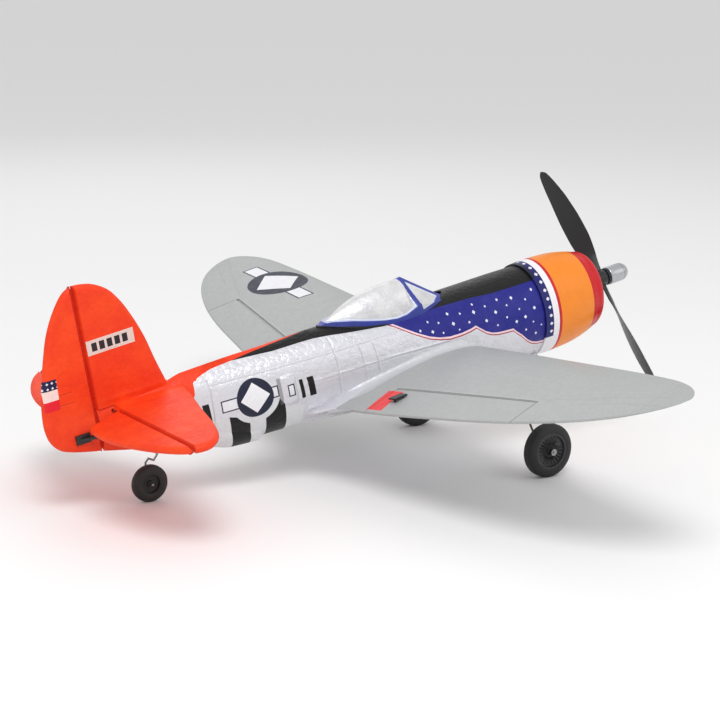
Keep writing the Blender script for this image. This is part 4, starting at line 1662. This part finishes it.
pad = (m.voronoi(0.45, "F1", rnd=0.2) < 0.16)
trace = ((m.y.mod(1.8) / 1.8 - 0.5).abs() < 0.12) * (m.noise(0.3, 1) > 0.5)
c = over(m, srgb(16, 84, 52), [(trace, srgb(28, 116, 70)), (pad, srgb(196, 186, 130)), ((m.z < 4.95), srgb(30, 30, 32))])
m.link("Base Color", c); m.link("Roughness", 0.34); m.link("Metallic", pad * 0.7); m.link("Coat Weight", 0.3)
m.t.links.new(m.bump(trace.max(pad), 0.03), m.b.inputs["Normal"])
HARD["circuit_board"] = m.m
m = Mat("clear_film")
m.link("Base Color", m.mix(m.noise(0.8), srgb(214, 216, 218), srgb(236, 238, 240))); m.link("Roughness", 0.12); m.link("Transmission Weight", 0.85); m.link("IOR", 1.45); m.link("Coat Weight", 0.4)
m.t.links.new(m.bump(m.noise(0.5, 3), 0.05), m.b.inputs["Normal"])
HARD["clear_sheet"] = m.m
HARD["foam_silver"], HARD["foam_grey"], HARD["foam_orange"], HARD["foam_cowl"] = M_FUSE, M_WING, M_TAIL, M_COWL
HARD["satin_aluminium"] = M_NUT
SLOT = {}
for part in REC.get("materials", REC.get("slots", {})) if isinstance(REC, dict) else ():
    pass
SLOT_OF = {
    "motor_frame": "black_plastic", "elevator_horn": "black_plastic", "rudder_horn": "black_plastic",
    "aileron_horn_left": "black_plastic", "aileron_horn_right": "black_plastic", "gear_seat_left": "black_plastic", "gear_seat_right": "black_plastic",
    "gear_leg_left": "steel_wire", "gear_leg_right": "steel_wire", "tail_leg": "steel_wire", "aileron_rod_left": "steel_wire", "aileron_rod_right": "steel_wire",
    "elevator_rod": "steel_wire", "rudder_rod": "steel_wire", "elevator_torque_wire": "steel_wire", "prop_shaft": "steel_wire",
    "motor_frame_screws": "steel_wire", "wheel_collars": "steel_wire", "shaft_bushes": "brass_parts", "pinion": "brass_parts", "tail_leg_bush": "brass_parts",
    "spur_gear": "nylon_white", "motor_end_cap": "nylon_white", "motor_can": "motor_steel", "motor_rotor": "motor_steel", "firewall": "plywood",
    "receiver_board": "circuit_board", "battery": "battery_wrap", "wiring": "wire_insulation", "wing_joiner": "glass_fibre", "hatch_pull_tab": "clear_sheet",
}
for nm, ob in NODES.items():
    s = SLOT_OF.get(nm)
    if s is None:
        s = "servo_blue" if nm.endswith("servo") or "_servo_left" in nm and "arm" not in nm or "_servo_right" in nm and "arm" not in nm else ("nylon_white" if "servo_arm" in nm else None)
    if s is None:
        continue
    ob.data.materials.clear(); ob.data.materials.append(HARD[s])


# ==========================================================================
# floor, light, camera
# ==========================================================================
sc = bpy.context.scene
fm = bpy.data.materials.new("floor_pale"); fm.use_nodes = True
fb = fm.node_tree.nodes["Principled BSDF"]; fb.inputs["Base Color"].default_value = (0.90, 0.90, 0.90, 1); fb.inputs["Roughness"].default_value = 0.9
fb.inputs["Specular IOR Level"].default_value = 0.1
me = bpy.data.meshes.new("floor"); me.from_pydata([(-9, -9, 0), (9, -9, 0), (9, 9, 0), (-9, 9, 0)], [], [(0, 1, 2, 3)])
floor = bpy.data.objects.new("floor", me); sc.collection.objects.link(floor); me.materials.append(fm)

w = bpy.data.worlds.new("studio"); sc.world = w; w.use_nodes = True
bg = w.node_tree.nodes["Background"]; bg.inputs[0].default_value = (1.0, 1.0, 1.0, 1); bg.inputs[1].default_value = 0.72


def area(name, pos, target, size, power, col=(1, 1, 1)):
    L = bpy.data.lights.new(name, "AREA"); L.shape = "DISK"; L.size = size; L.energy = power; L.color = col
    o = bpy.data.objects.new(name, L); sc.collection.objects.link(o)
    d = (Vector(target) - Vector(pos)).normalized()
    o.matrix_world = Matrix.Translation(pos) @ d.to_track_quat("-Z", "Y").to_matrix().to_4x4()
    return o


area("key", (-0.42, -0.62, 1.15), (0, 0, 0.05), 0.62, 7.5)
area("fill", (0.75, -0.95, 0.75), (0, 0, 0.05), 0.9, 1.6)
area("back", (0.35, 1.1, 0.9), (0, 0, 0.05), 0.8, 1.6)

# viewing position of the reference view, airframe axes
az, el, roll, dist, flen, tx, tz = 0.5314, radians(18.4296), radians(-8.5701), 918.288, 1832.035, -159.829, 0.812
cdir = np.array([-sin(az) * cos(el), -cos(az) * cos(el), sin(el)])
fdir = -cdir
r0 = np.cross(fdir, [0, 0, 1.0]); r0 /= np.linalg.norm(r0)
u0 = np.cross(r0, fdir)
r2 = cos(roll) * r0 + sin(roll) * u0; u2 = -sin(roll) * r0 + cos(roll) * u0
cam = bpy.data.cameras.new("camera"); co = bpy.data.objects.new("camera", cam); sc.collection.objects.link(co)
cam.sensor_width = 36; cam.lens = 36 * flen / 720; cam.clip_start = 0.02; cam.clip_end = 30
P = row(np.array([tx, 0, tz]) + cdir * dist)
M = Matrix.Identity(4)
for i, v in enumerate((rowdir(r2), rowdir(u2), rowdir(-fdir))):
    for k in range(3):
        M[k][i] = float(v[k])
for k in range(3):
    M[k][3] = float(P[k])
co.matrix_world = M
sc.camera = co
sc.view_settings.view_transform = "Standard"
